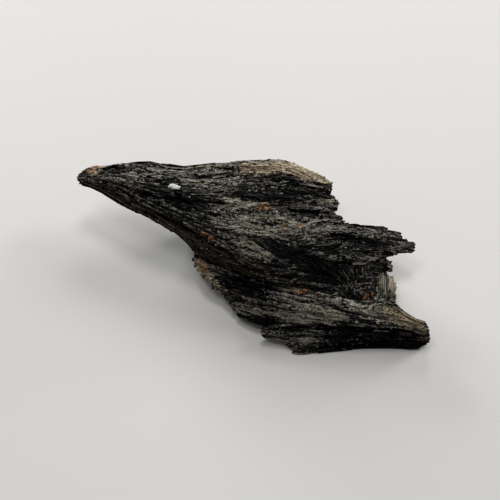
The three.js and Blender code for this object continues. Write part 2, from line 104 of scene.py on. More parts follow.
LOWER_GUIDES = [
    [(-16.41, -1.16, 7.6), (-13.83, -3.07, 8.4), (-7.82, -5.68, 9.2), (-1.56, -8.16, 9.8), (4.66, -10.16, 10.2), (12.39, -12.8, 10.5), (21.62, -15.51, 10.3), (29.3, -17.69, 9.8), (35.49, -18.24, 9.2), (40.16, -17.61, 9), (42.66, -16.99, 9), (45.27, -19.79, 9.3), (47.88, -22.69, 9.4), (51.15, -24.41, 9.4), (54.5, -25.41, 9)],
    [(-17.51, -3.14, 6.6), (-13.17, -6.09, 8), (-6.24, -9.04, 8.8), (1.55, -11.55, 9.5), (9.29, -13.94, 10), (18.51, -16.56, 10.3), (27.68, -19.3, 10.2), (36.84, -21.27, 10), (42.38, -21.1, 10), (46.02, -22.38, 9.8), (50.51, -24.81, 9.5), (54.44, -26.13, 9.2)],
    [(-16.05, -5.8, 6.2), (-10.01, -9.21, 7.5), (-3.11, -12.01, 8.4), (4.65, -14.57, 9.2), (12.35, -16.99, 9.8), (21.53, -19.3, 10.2), (30.68, -21.55, 10.2), (38.31, -22.95, 9.9), (45.93, -24.22, 9.7), (54.41, -26.66, 9.1)],
    [(-12.54, -9.71, 5.8), (-6.86, -12.67, 7), (0, -15.27, 7.9), (7.72, -17.86, 8.8), (15.39, -19.97, 9.5), (24.54, -21.96, 10), (33.69, -23.34, 10), (42.85, -24.57, 9.7), (54.4, -27.24, 8.9)],
    [(-8.76, -13.3, 5.2), (-3.11, -15.95, 6.2), (3.1, -18.41, 7.2), (10.79, -20.78, 8.4), (18.42, -22.58, 9.2), (27.57, -24, 9.6), (36.72, -24.86, 9.6), (45.89, -25.56, 9.3), (54.41, -27.6, 8.6)],
    [(-5.93, -16.23, 4.4), (-1.24, -18.52, 5.4), (4.64, -20.49, 6.5), (10.78, -22.45, 7.6), (18.42, -24, 8.6), (27.56, -25.12, 9.1), (36.71, -25.85, 9.2), (45.89, -26.39, 8.9), (54.42, -27.97, 8.3)],
    [(-4.37, -18.6, 3.2), (-1.24, -20.31, 3.8), (2.48, -21.84, 4.4), (6.19, -22.77, 5.2), (10.79, -23.93, 6.3), (18.43, -25.21, 7.6), (27.58, -26.03, 8.2), (36.74, -26.6, 8.3), (45.93, -27.01, 8.1), (54.47, -28.3, 7.6)],
]
LOWER_STRIPS = [
    (0, 0.35, -16.24, 53.43, -0.35, 0),
    (0.35, 0.7, -17.03, 53.71, 0, 0.8),
    (0.7, 1.05, -17.51, 53.84, -0.04, 0.3),
    (1.05, 1.4, -17.02, 53.98, -0.21, 0),
    (1.4, 1.8, -16.21, 54.12, -0.12, 1),
    (1.8, 2.2, -15.09, 54.11, 0.21, 0),
    (2.2, 2.6, -14.13, 54.26, -0.13, 0.8),
    (2.6, 3, -12.86, 54.25, -0.25, 0.3),
    (3, 3.4, -11.59, 54.4, 0.14, 0),
    (3.4, 3.8, -10.01, 54.4, -0.04, 1),
    (3.8, 4.2, -8.6, 54.41, 0.21, 0),
    (4.2, 4.6, -7.18, 54.41, -0.19, 0.8),
    (4.6, 5, -6.24, 54.42, -0.13, 0.3),
    (5, 5.4, -5.62, 54.43, 0.21, 0),
    (5.4, 5.7, -4.99, 54.3, 0, 1),
    (5.7, 6, -3.43, 54.16, 0, 0),
]
BAR_GUIDES = [
    [(3.69, -26.15, 6.4), (6.15, -25.7, 7), (9.21, -25.42, 7.6), (13.8, -25.57, 8.3), (21.43, -25.82, 8.8), (30.58, -26.32, 9.1), (39.74, -26.66, 9.1), (47.39, -26.9, 8.9), (51.99, -27.09, 8.6), (54.63, -27.76, 7.9)],
    [(3.54, -26.16, 5.4), (7.69, -26.41, 5.9), (12.29, -26.42, 6.6), (18.41, -26.68, 7.1), (27.59, -27, 7.4), (36.78, -27.22, 7.5), (45.98, -27.46, 7.3), (54.76, -28.09, 6.5)],
    [(4.02, -26.61, 3.9), (7.71, -27.28, 4.2), (12.32, -27.7, 4.7), (18.46, -28.02, 5), (27.68, -28.12, 5.2), (36.9, -28.17, 5.3), (46.11, -28.28, 5.3), (54.88, -28.49, 5.1)],
    [(5.11, -27.17, 2.6), (8.66, -28.07, 2.6), (12.35, -28.94, 2.7), (16.97, -29.4, 2.8), (27.77, -28.89, 3), (37.03, -28.5, 3.2), (46.28, -28.55, 3.3), (54.25, -28.84, 3.6)],
    [(6.51, -27.37, 1.6), (10.53, -28.6, 1.3), (14.54, -30.36, 0.9), (21.67, -29.88, 0.9), (27.88, -29.3, 0.9), (37.18, -28.76, 1), (46.47, -28.84, 1.1), (50.44, -29.2, 1.4), (53.8, -29.01, 2)],
]
BAR_STRIPS = [
    (0, 0.4, 4.15, 54.5, -0.11, 0.3),
    (0.4, 0.9, 3.54, 54.68, -0.19, 0),
    (0.9, 1.4, 3.7, 54.81, 0.17, 0.6),
    (1.4, 1.9, 3.86, 54.87, -0.17, 0),
    (1.9, 2.4, 4.17, 54.88, 0.14, 0.3),
    (2.4, 2.9, 4.64, 54.76, -0.05, 0),
    (2.9, 3.4, 12.2, 54.4, 0.18, 0.6),
    (3.4, 3.75, 12.6, 53.88, -0.04, 0),
    (3.75, 4, 13.2, 52.86, 0.17, 0.3),
]
PATCHES = [
    ("cream", "U", 15.9, 24.2, 0.086, -0.017, -0.073, -0.286, 1.00),
    ("cream", "U", 3.8, 24.1, 0.121, 0.003, 0.016, -0.378, 0.85),
    ("cream", "U", 22.9, 21.9, 0.238, -0.099, -0.222, -0.395, 1.00),
    ("cream", "U", -1.9, 22.8, 0.263, 0.001, -0.000, -0.531, 0.60),
    ("cream", "U", 0.0, 18.5, 0.529, 0.000, -0.000, -0.893, 0.35),
    ("rust", "U", -49.4, 22.5, 0.33, 0.12, 0.23, -0.5, 0.62),
    ("cream", "U", -48.9, 22.3, 0.36, 0.12, 0.23, -0.52, 0.80),
    ("rust", "U", -47.2, 21.5, 0.635, 0.033, -0.000, -0.889, 0.40),
    ("pink", "U", -38.0, 15.3, 0.293, -0.160, -0.409, -0.511, 0.90),
    ("pink", "U", -35.1, 11.3, 0.309, -0.208, -0.691, -0.725, 0.70),
    ("pink", "U", -47.7, 18.4, 0.691, -0.299, -0.798, -1.205, 0.50),
    ("rust", "U", 4.5, 8.9, 0.46, -0.003, -0.000, -0.607, 1.00),
    ("rust", "U", 10.9, 2.9, 0.352, -0.058, -0.112, -0.544, 0.50),
    ("rust", "U", 15.6, 3.0, 0.804, -0.014, -0.000, -0.922, 0.60),
    ("rust", "U", -13.2, -1.1, 0.327, -0.127, -0.686, -1.278, 0.80),
    ("rust", "U", -18.5, 3.0, 0.589, -0.223, -0.686, -1.274, 0.60),
    ("olive", "U", -11.1, 24.6, 0.092, 0.007, 0.055, -0.659, 0.60),
    ("olive", "U", 1.6, 26.6, 0.104, 0.004, 0.041, -0.656, 0.75),
    ("olive", "U", -1.8, -2.8, 0.091, -0.051, -0.197, -0.263, 0.85),
    ("olive", "U", -6.8, 1.7, 0.324, 0.002, -0.000, -0.399, 1.00),
    ("olive", "U", 3.7, -6.3, 0.235, -0.119, -0.271, -0.407, 0.80),
    ("olive", "U", -7.9, 22.5, 0.158, 0.001, -0.000, -0.532, 0.40),
    ("grit", "U", 4.6, 2.7, 0.072, -0.005, -0.016, -0.198, 1.00),
    ("grit", "U", -3.1, 10.1, 0.104, -0.023, -0.060, -0.190, 0.80),
    ("grit", "U", -14.1, 19.5, 0.070, -0.007, -0.044, -0.267, 0.80),
    ("grit", "U", -37.6, 19.2, 0.091, -0.003, -0.035, -0.337, 0.55),
    ("grit", "U", -28.3, 21.3, 0.127, 0.004, -0.000, -0.334, 0.60),
    ("grit", "U", 15.6, 3.0, 0.064, -0.003, -0.011, -0.277, 0.80),
    ("grit", "U", 12.6, 15.2, 0.079, -0.001, -0.000, -0.337, 0.35),
    ("grit", "U", 31.3, 3.2, 0.080, -0.005, -0.016, -0.393, 0.55),
    ("grit", "U", 34.3, 0.4, 0.107, -0.011, -0.056, -0.689, 0.50),
    ("grit", "U", 42.2, -0.5, 0.267, -0.013, -0.000, -0.555, 0.80),
    ("grit", "U", 43.1, -1.3, 0.801, -0.039, -0.000, -0.694, 0.90),
    ("grit", "U", -7.7, 3.6, 0.163, -0.064, -0.171, -0.316, 0.80),
    ("grit", "U", 26.2, 13.6, 0.528, -0.015, -0.000, -0.450, 0.90),
    ("tan", "U", 25.5, 13.5, 0.528, -0.015, -0.000, -0.450, 0.60),
    ("grit", "U", 32.6, -11.1, 0.117, -0.063, -0.116, -0.171, 0.35),
    ("grit", "L", 1.6, -10.3, 0.121, -0.023, -0.223, -0.919, 0.35),
    ("grit", "L", 14.2, -13.2, 0.227, -0.039, -0.094, -0.465, 1.00),
    ("olive", "L", 9.3, -11.4, 0.318, -0.052, -0.187, -0.927, 0.70),
    ("rust", "L", 16.1, -14.8, 0.33, 0.048, 0.125, -0.56, 1.00),
    ("rust", "L", 14.3, -12.4, 0.461, -0.007, -0.000, -0.946, 0.50),
    ("grit", "L", 12.3, -17.0, 0.134, -0.018, -0.065, -0.405, 0.90),
    ("olive", "L", 19.0, -22.9, 0.096, -0.007, -0.017, -0.290, 1.00),
    ("grit", "L", 15.4, -20.9, 0.081, -0.005, -0.014, -0.241, 0.80),
    ("grit", "L", 24.6, -17.9, 0.107, -0.020, -0.094, -0.469, 0.80),
    ("grit", "L", 0.0, -19.5, 0.152, -0.049, -0.111, -0.270, 0.70),
    ("rust", "L", 8.6, -20.0, 0.648, -0.006, -0.000, -1.150, 0.60),
    ("pale", "L", 29.3, -17.0, 0.312, -0.170, -0.232, -0.347, 0.80),
    ("pale", "L", 33.2, -20.2, 0.125, -0.076, -0.394, -0.523, 1.00),
    ("pale", "L", 18.5, -19.8, 0.230, -0.033, -0.181, -1.138, 0.60),
    ("rust", "L", 35.5, -17.9, 0.6, -0.033, -0.000, -0.65, 1.00),
    ("rust", "L", 37.7, -16.3, 1.078, -0.046, -0.000, -0.952, 0.50),
    ("tan", "L", 45.9, -23.9, 0.120, -0.041, -0.112, -0.302, 1.00),
    ("tan", "L", 52.0, -27.4, 0.363, -0.022, -0.000, -0.245, 0.90),
    ("olive", "L", 41.4, -21.9, 0.192, -0.071, -0.140, -0.334, 0.70),
    ("grit", "L", 38.3, -22.9, 0.104, -0.035, -0.126, -0.340, 0.70),
    ("cream", "L", -15.2, -4.6, 0.40, 0.18, -0.14, 0.30, 0.95),
    ("cream", "L", -12.6, -8.4, 0.50, 0.28, -0.20, 0.36, 0.70),
    ("rust", "L", -14.3, -5.2, 0.55, 0.27, -0.20, 0.40, 0.72),
    ("cream", "L", -10.2, -11.3, 0.55, 0.30, -0.24, 0.50, 0.50),
    ("pink", "L", -8.6, -13.2, 0.46, 0.24, -0.20, 0.40, 0.70),
    ("grit", "B", 6.8, -27.0, 0.232, -0.002, -0.000, -0.364, 0.70),
    ("grit", "B", 15.4, -29.5, 0.125, -0.002, -0.000, -0.584, 0.90),
    ("grit", "B", 27.7, -28.4, 0.054, -0.002, -0.000, -0.729, 0.35),
    ("tan", "B", 53.4, -28.1, 0.543, -0.033, -0.000, -0.326, 0.80),
    ("black", "U", 17.4, -7.6, 0.079, -0.029, -0.151, -0.324, 0.75),
    ("black", "U", 34.3, 0.3, 0.100, -0.013, -0.084, -0.686, 0.80),
    ("black", "U", 3.7, 13.1, 0.080, -0.004, -0.042, -0.678, 0.60),
    ("black", "L", -1.6, -12.0, 0.120, -0.026, -0.111, -0.393, 0.60),
    ("black", "U", 17.3, 15.9, 0.144, -0.007, -0.022, -0.538, 0.60),
    ("black", "U", -21.8, 10.4, 0.116, -0.033, -0.183, -0.432, 0.60),
    ("black", "L", 3.7, -23.0, 0.200, -0.032, -0.113, -0.570, 0.80),
    ("cream", "U", 44.4, -10.6, 0.55, 0.0, 0.0, 0.27, 0.55),
    ("rust", "U", 35.8, -16.9, 0.55, 0.0, 0.0, 0.6, 1.00),
    ("rust", "U", 37.6, -16.2, 0.8, 0.0, 0.0, 0.9, 0.80),
]
UPPER_FOOT = (
    [0, 2, 4, 5, 6, 7, 9],
    [
        (-54, 17, 16.5, 16.4, 16.4, 16.4, 16.5, 16.8),
        (-45, 15.8, 14.8, 14.2, 14, 14, 14, 14.6),
        (-32, 14, 11.5, 9.8, 9.4, 9.2, 9.2, 9.8),
        (-19, 11.5, 6.5, 3, 2.2, 2, 2, 2.6),
        (-9.5, 11, 4, 0.4, -0.5, -0.5, -0.5, 0),
        (0, 10.5, 3, -0.5, -0.8, -0.8, -0.8, -0.8),
        (9.5, 10, 2.5, -0.5, -0.8, -0.8, -0.8, -0.8),
        (18, 9.5, 4.5, 1.5, 0, -0.5, -0.5, -0.5),
        (22, 12.8, 12.4, 10.5, 5, 1, 0, -0.3),
        (28.5, 12.5, 12.2, 11.2, 8, 6, 3, 0.3),
        (38, 11, 11.4, 11.6, 11, 10, 7, 2),
        (44, 10, 11, 11.6, 11.2, 10.8, 10, 4),
        (52, 9, 10, 11.4, 11.2, 10.8, 9.5, 6),
    ],
)
LOWER_FOOT = (
    [0, 3, 6],
    [
        (-18, 4.6, 4.2, 3.2),
        (-10, 2.6, 3.4, 3),
        (0, -0.2, 1.6, 2.4),
        (8, -0.8, -0.2, 1.4),
        (16, -0.8, -0.8, 0),
        (40, 0, -0.5, -0.8),
        (55, 1, 0.6, 0.3),
    ],
)
BAR_FOOT = (
    [0, 4],
    [
        (3, 4.4, 3.4),
        (9, 3.8, 3),
        (12.5, 3.2, 2.8),
        (16, 0, 2.6),
        (40, -0.8, 2),
        (55, 0.4, 1.6),
    ],
)

# ---------------------------------------------------------------- small numeric helpers


def lerp(a, b, f):
    return a + (b - a) * f


def smooth(a, b, x):
    u = np.clip((x - a) / (b - a), 0, 1)
    return u * u * (3 - 2 * u)


def unit(v):
    return v / np.maximum(np.linalg.norm(v, axis=-1, keepdims=True), 1e-9)


def monotone(xs, vs):
    xs, vs = np.asarray(xs, float), np.asarray(vs, float)
    h = np.diff(xs)
    d = np.diff(vs) / h
    m = np.empty_like(vs)
    m[0], m[-1] = d[0], d[-1]
    prod, s = d[:-1] * d[1:], d[:-1] + d[1:]
    m[1:-1] = np.where(prod <= 0, 0, 2 * prod / np.where(s == 0, 1, s))

    def f(x):
        x = np.asarray(x, float)
        c = np.clip(x, xs[0], xs[-1])
        i = np.clip(np.searchsorted(xs, c) - 1, 0, len(xs) - 2)
        hh = h[i]
        u = (c - xs[i]) / hh
        inside = (
            (2 * u**3 - 3 * u**2 + 1) * vs[i]
            + (u**3 - 2 * u**2 + u) * hh * m[i]
            + (3 * u**2 - 2 * u**3) * vs[i + 1]
            + (u**3 - u**2) * hh * m[i + 1]
        )
        return inside + np.where(x < c, (x - c) * m[0], 0) + np.where(x > c, (x - c) * m[-1], 0)

    return f


def across(values, t):
    """Smooth interpolation between guides: values is [guide, ...], t has the rest's shape."""
    k_max = values.shape[0] - 1
    d = np.diff(values, axis=0)
    m = np.empty_like(values)
    m[0], m[-1] = d[0], d[-1]
    prod, s = d[:-1] * d[1:], d[:-1] + d[1:]
    m[1:-1] = np.where(prod <= 0, 0, 2 * prod / np.where(s == 0, 1, s))
    t = np.clip(t, 0, k_max)
    k = np.clip(np.floor(t).astype(int), 0, k_max - 1)
    u = t - k

    def pick(a, i):
        return np.take_along_axis(a, i[None], 0)[0]

    return (
        (2 * u**3 - 3 * u**2 + 1) * pick(values, k)
        + (u**3 - 2 * u**2 + u) * pick(m, k)
        + (3 * u**2 - 2 * u**3) * pick(values, k + 1)
        + (u**3 - u**2) * pick(m, k + 1)
    )


LATTICE = np.random.default_rng(11).random((64, 64, 64))


def noise(p, size, seed=0.0):
    """Smooth value noise in 0..1; size is the length of one lump, per axis or for all."""
    q = np.asarray(p, float) / np.asarray(size, float) + np.array([seed * 7.31, seed * 3.77, seed * 5.13]) + 500.0
    i = np.floor(q).astype(int)
    f = q - i
    f = f * f * (3 - 2 * f)
    out = 0.0
    for a in (0, 1):
        wa = f[..., 0] if a else 1 - f[..., 0]
        for b in (0, 1):
            wb = f[..., 1] if b else 1 - f[..., 1]
            for c in (0, 1):
                wc = f[..., 2] if c else 1 - f[..., 2]
                out = out + wa * wb * wc * LATTICE[(i[..., 0] + a) & 63, (i[..., 1] + b) & 63, (i[..., 2] + c) & 63]
    return out


class Rows:
    """Rows of blades side by side. Each row is broken along its length into pieces, each with its own height and tilt."""

    def __init__(self, rng, start, stop, width, length, span, height, tilt):
        edges = [start]
        while edges[-1] < stop:
            edges.append(edges[-1] + width * rng.uniform(0.55, 1.5))
        self.edges = np.array(edges)
        n = len(edges)
        k = int((span[1] - span[0]) / length * 1.7) + 4
        self.breaks = span[0] - rng.uniform(0, 1, (n, 1)) * length + np.cumsum(rng.uniform(0.25, 1.6, (n, k)) * length, 1)
        self.height = np.clip(rng.normal(0, 1, (n, k + 1)), -1.9, 1.9) * height
        self.tilt = rng.uniform(-1, 1, (n, k + 1)) * tilt
        self.tones = rng.uniform(0, 1, (n, k + 1))

    def piece(self, x, t):
        i = np.clip(np.searchsorted(self.edges, t, side="right") - 1, 0, len(self.edges) - 2)
        return i, (x[..., None] > self.breaks[i]).sum(-1)

    def __call__(self, x, t):
        i, j = self.piece(x, t)
        f = (t - self.edges[i]) / (self.edges[i + 1] - self.edges[i])
        return self.height[i, j] + self.tilt[i, j] * (f - 0.5) * 2

    def shade(self, x, t):
        return self.tones[self.piece(x, t)]


class Slab:
    def __init__(self, name, guides, strips, foot, back, front, hang_end, seed):
        self.name = name
        self.curves_y = [monotone([p[0] for p in g], [p[1] for p in g]) for g in guides]
        self.curves_z = [monotone([p[0] for p in g], [p[2] for p in g]) for g in guides]
        self.last = len(guides) - 1
        self.strips = np.array(strips, float)
        self.foot_t = np.array(foot[0], float)
        xs = [r[0] for r in foot[1]]
        self.foot_curves = [monotone(xs, [r[j + 1] for r in foot[1]]) for j in range(len(foot[0]))]
        self.back, self.front, self.hang_end = back, front, hang_end
        rng = np.random.default_rng(seed)
        span = (self.strips[:, 2].min() - 3, self.strips[:, 3].max() + 3)
        self.span = span
        t1 = self.last + 0.5
        # relief of the upper face, from the broadest ledges to the single fibres; widths are in t
        k = 9.0 / 9.0 if name == "upper" else (0.75 if name == "lower" else 0.6)
        self.ledges = Rows(rng, -0.5, t1, 0.85 * k, 13, span, 0.72, 0.35)
        self.bundles = Rows(rng, -0.5, t1, 0.42 * k, 7, span, 0.5, 0.35)
        self.blades = Rows(rng, -0.5, t1, 0.21 * k, 4, span, 0.3, 0.22)
        self.under_ledges = Rows(rng, -0.5, t1, 1.0 * k, 20, span, 0.5, 0.3)
        self.under_bundles = Rows(rng, -0.5, t1, 0.4 * k, 12, span, 0.36, 0.2)
        self.wall_ledges = Rows(rng, -2, 26, 1.7, 16, span, 0.45, 0.2)
        self.wall_bundles = Rows(rng, -2, 26, 0.8, 9, span, 0.28, 0.15)
        self.grooves = []
        self.seed = seed

    def strip_ends(self, t):
        i = np.clip(np.searchsorted(self.strips[:, 1], t, side="left"), 0, len(self.strips) - 1)
        return self.strips[i, 2], self.strips[i, 3]

    def face(self, x, t):
        y = across(np.stack([c(x) for c in self.curves_y]), t)
        z = across(np.stack([c(x) for c in self.curves_z]), t)
        return y, z

    def top(self, x, t):
        """Point, outward normal, fibre direction and millimetres per t on the upper face."""
        x, t = np.broadcast_arrays(np.asarray(x, float), np.asarray(t, float))
        y, z = self.face(x, t)
        y1, z1 = self.face(x + 0.5, t)
        y0, z0 = self.face(x - 0.5, t)
        lo, hi = np.clip(t - 0.12, 0, self.last), np.clip(t + 0.12, 0, self.last)
        ya, za = self.face(x, hi)
        yb, zb = self.face(x, lo)
        dx = np.stack([np.ones_like(x), y1 - y0, z1 - z0], -1)
        dt = np.stack([np.zeros_like(x), ya - yb, za - zb], -1)
        n = unit(-np.cross(dx, dt))
        return np.stack([x, y, z], -1), n, unit(dx), np.linalg.norm(dt, axis=-1) / (hi - lo)

    def keel(self, x):
        """How far the underside draws back from the front edge: the raised tip narrows downwards."""
        return lerp(0.27, 0.03, smooth(-17, -6, x)) if self.name == "upper" else self.front

    def under(self, x, t):
        x, t = np.broadcast_arrays(np.asarray(x, float), np.asarray(t, float))
        y, z = self.face(x, t)
        yb, _ = self.face(x, 0 * t)
        yf, _ = self.face(x, 0 * t + self.last)
        width = yb - yf
        hang = 1 - smooth(self.hang_end - 18, self.hang_end, x)
        line = lerp(yb - self.back * width, yf + self.keel(x) * width, t / self.last)
        cols = np.stack([c(x) for c in self.foot_curves])
        j = np.clip(np.searchsorted(self.foot_t, t, side="right") - 1, 0, len(self.foot_t) - 2)
        f = np.clip((t - self.foot_t[j]) / (self.foot_t[j + 1] - self.foot_t[j]), 0, 1)
        low = lerp(np.take_along_axis(cols, j[None], 0)[0], np.take_along_axis(cols, (j + 1)[None], 0)[0], f)
        return np.stack([x, lerp(y, line, hang), np.maximum(np.minimum(low, z - 0.9), 0)], -1)

    def taper(self, x):
        yb, _ = self.face(x, 0 * x)
        yf, _ = self.face(x, 0 * x + self.last)
        return np.clip((yb - yf) / 13, 0.3, 1)

    def groove_depth(self, x, t, mm):
        g = np.zeros(np.broadcast(x, t).shape)
        for ta, tb, xa, xb, width, depth in self.grooves:
            u = (x - xa) / (xb - xa)
            c = ta + (tb - ta) * np.clip(u, 0, 1) + 0.05 * np.sin(x * 0.45 + ta * 9)
            side = np.abs(t - c) * mm / (width * (0.75 + 0.5 * np.abs(np.sin(x * 0.7 + ta * 5))))
            g = np.maximum(g, depth * smooth(1.0, 0.35, side) * smooth(0, 0.12, u) * smooth(1, 0.88, u))
        return g

    def rim(self, x, t, mm):
        """1 right at the slab's outline and 0 inside it: there nothing stands out, so the outline stays put."""
        edge = smooth(1.6, 0.2, np.minimum(t, self.last - t) * mm)
        if self.name == "upper":
            edge = np.maximum(edge, smooth(-30, -46, x) * 0.7)
        return edge

    def coarse(self, x, t, mm):
        """Height of the ledges and grooves over the plain upper face."""
        k = self.taper(x)
        h = k * (self.ledges(x, t) + 0.6 * self.bundles(x, t))
        edge = self.rim(x, t, mm)
        return lerp(h, 0.55 * h - 0.5, edge) - self.groove_depth(x, t, mm)


# ---------------------------------------------------------------- mineral patches


def patch(p, kinds, slab=None):
    """Strength 0..1 of the crust patches of these kinds at points p."""
    out = np.zeros(p.shape[:-1])
    for kind, owner, cx, cy, a, b, c, d, s in PATCHES:
        if kind not in kinds or (slab and owner != slab):
            continue
        dx, dy = p[..., 0] - cx, p[..., 1] - cy
        r = np.sqrt((a * dx + b * dy) ** 2 + (c * dx + d * dy) ** 2)
        out = np.maximum(out, s * smooth(1.35, 0.55, r))
    return out


SLAB_KEY = {"upper": "U", "lower": "L", "bar": "B"}


# ---------------------------------------------------------------- meshes


class Bag:
    """Collects vertices, faces and vertex attributes, and turns them into one mesh object."""

    def __init__(self):
        self.v, self.flow, self.tone, self.bare = [], [], [], []
        self.loops, self.sizes = [], []
        self.slab = []
        self.n = 0

    def add(self, verts, faces_by_size, flow, tone, slab, bare=1.0):
        """faces_by_size is a list of [n, corners] index arrays into verts; bare is 0 deep in a gap, 1 in the open."""
        verts = np.asarray(verts, float).reshape(-1, 3)
        self.v.append(verts)
        self.flow.append(np.asarray(flow, float).reshape(-1, 3))
        self.tone.append(np.broadcast_to(tone, (len(verts),)).astype(float))
        self.bare.append(np.broadcast_to(bare, (len(verts),)).astype(float))
        self.slab.append(np.full(len(verts), slab))
        for f in faces_by_size:
            f = np.asarray(f, np.int64)
            self.loops.append((f + self.n).reshape(-1))
            self.sizes.append(np.full(len(f), f.shape[1], np.int64))
        self.n += len(verts)

    def triangles(self):
        return int(sum((s - 2).sum() for s in self.sizes))

    def build(self, name, material, smooth_faces=False, weights=None):
        v = np.concatenate(self.v)
        loops = np.concatenate(self.loops).astype(np.int32)
        sizes = np.concatenate(self.sizes).astype(np.int32)
        me = bpy.data.meshes.new(name)
        me.vertices.add(len(v))
        me.vertices.foreach_set("co", world(v).astype(np.float32).reshape(-1))
        me.loops.add(len(loops))
        me.loops.foreach_set("vertex_index", loops)
        me.polygons.add(len(sizes))
        me.polygons.foreach_set("loop_start", np.concatenate([[0], np.cumsum(sizes)[:-1]]).astype(np.int32))
        me.polygons.foreach_set("loop_total", sizes)
        me.update(calc_edges=True)
        me.polygons.foreach_set("use_smooth", np.full(len(sizes), smooth_faces))
        owner = np.concatenate(self.slab)
        up = smooth(-0.2, 0.5, np.array(self.upness(me), float)) if len(v) else v
        masks = {k: np.zeros(len(v)) for k in ("cream", "rust", "tan", "grit", "pale")}
        for key in "ULB":
            m = owner == key
            if not m.any():
                continue
            q = v[m]
            masks["cream"][m] = patch(q, ("cream",), key)
            masks["rust"][m] = patch(q, ("rust",), key)
            pink = patch(q, ("pink",), key)
            masks["tan"][m] = np.maximum(patch(q, ("tan",), key), 0.5 * pink)
            masks["cream"][m] = np.maximum(masks["cream"][m], 0.42 * pink)
            masks["pale"][m] = patch(q, ("pale",), key)
            olive = patch(q, ("olive",), key)
            masks["grit"][m] = np.maximum(patch(q, ("grit",), key) * 0.8, olive)
            masks["tan"][m] = np.maximum(masks["tan"][m], olive * 0.42)
        tone, bare = np.concatenate(self.tone), np.concatenate(self.bare)
        # painted shade: the right-hand part of the front bar is made near-black as if unlit; there and in the 'black'
        # patches the lowered bare value also deepens the painted gap shade
        black = np.where(owner == "B", 0.75 * smooth(17, 30, v[:, 0]), 0.0)
        for key in "UL":
            m = owner == key
            black[m] = patch(v[m], ("black",), key)
        tone, bare = tone * (1 - 0.75 * black), bare * (1 - 0.5 * black)
        low = smooth(0.5, 6.0, v[:, 2])  # crust thins out towards the underside
        for k in masks:
            masks[k] *= lerp(0.25, 1.0, low)
        a = np.stack([masks["cream"], masks["rust"], masks["tan"], masks["pale"]], -1)
        b = np.stack([masks["grit"] * (1 - 0.8 * black), up, tone, bare], -1)
        for attr, data in (("crust", a), ("body", b)):
            layer = me.attributes.new(attr, "FLOAT_COLOR", "POINT")
            layer.data.foreach_set("color", data.astype(np.float32).reshape(-1))
        layer = me.attributes.new("flow", "FLOAT_VECTOR", "POINT")
        layer.data.foreach_set("vector", np.concatenate(self.flow).astype(np.float32).reshape(-1))
        me.materials.append(material)
        me.validate()
        o = bpy.data.objects.new(name, me)
        bpy.context.scene.collection.objects.link(o)
        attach(o, "root")
        print("piece", name, "triangles", self.triangles())
        return o

    @staticmethod
    def upness(me):
        n = np.empty(len(me.vertices) * 3, np.float32)
        me.vertex_normals.foreach_get("vector", n)
        return n.reshape(-1, 3)[:, 2]


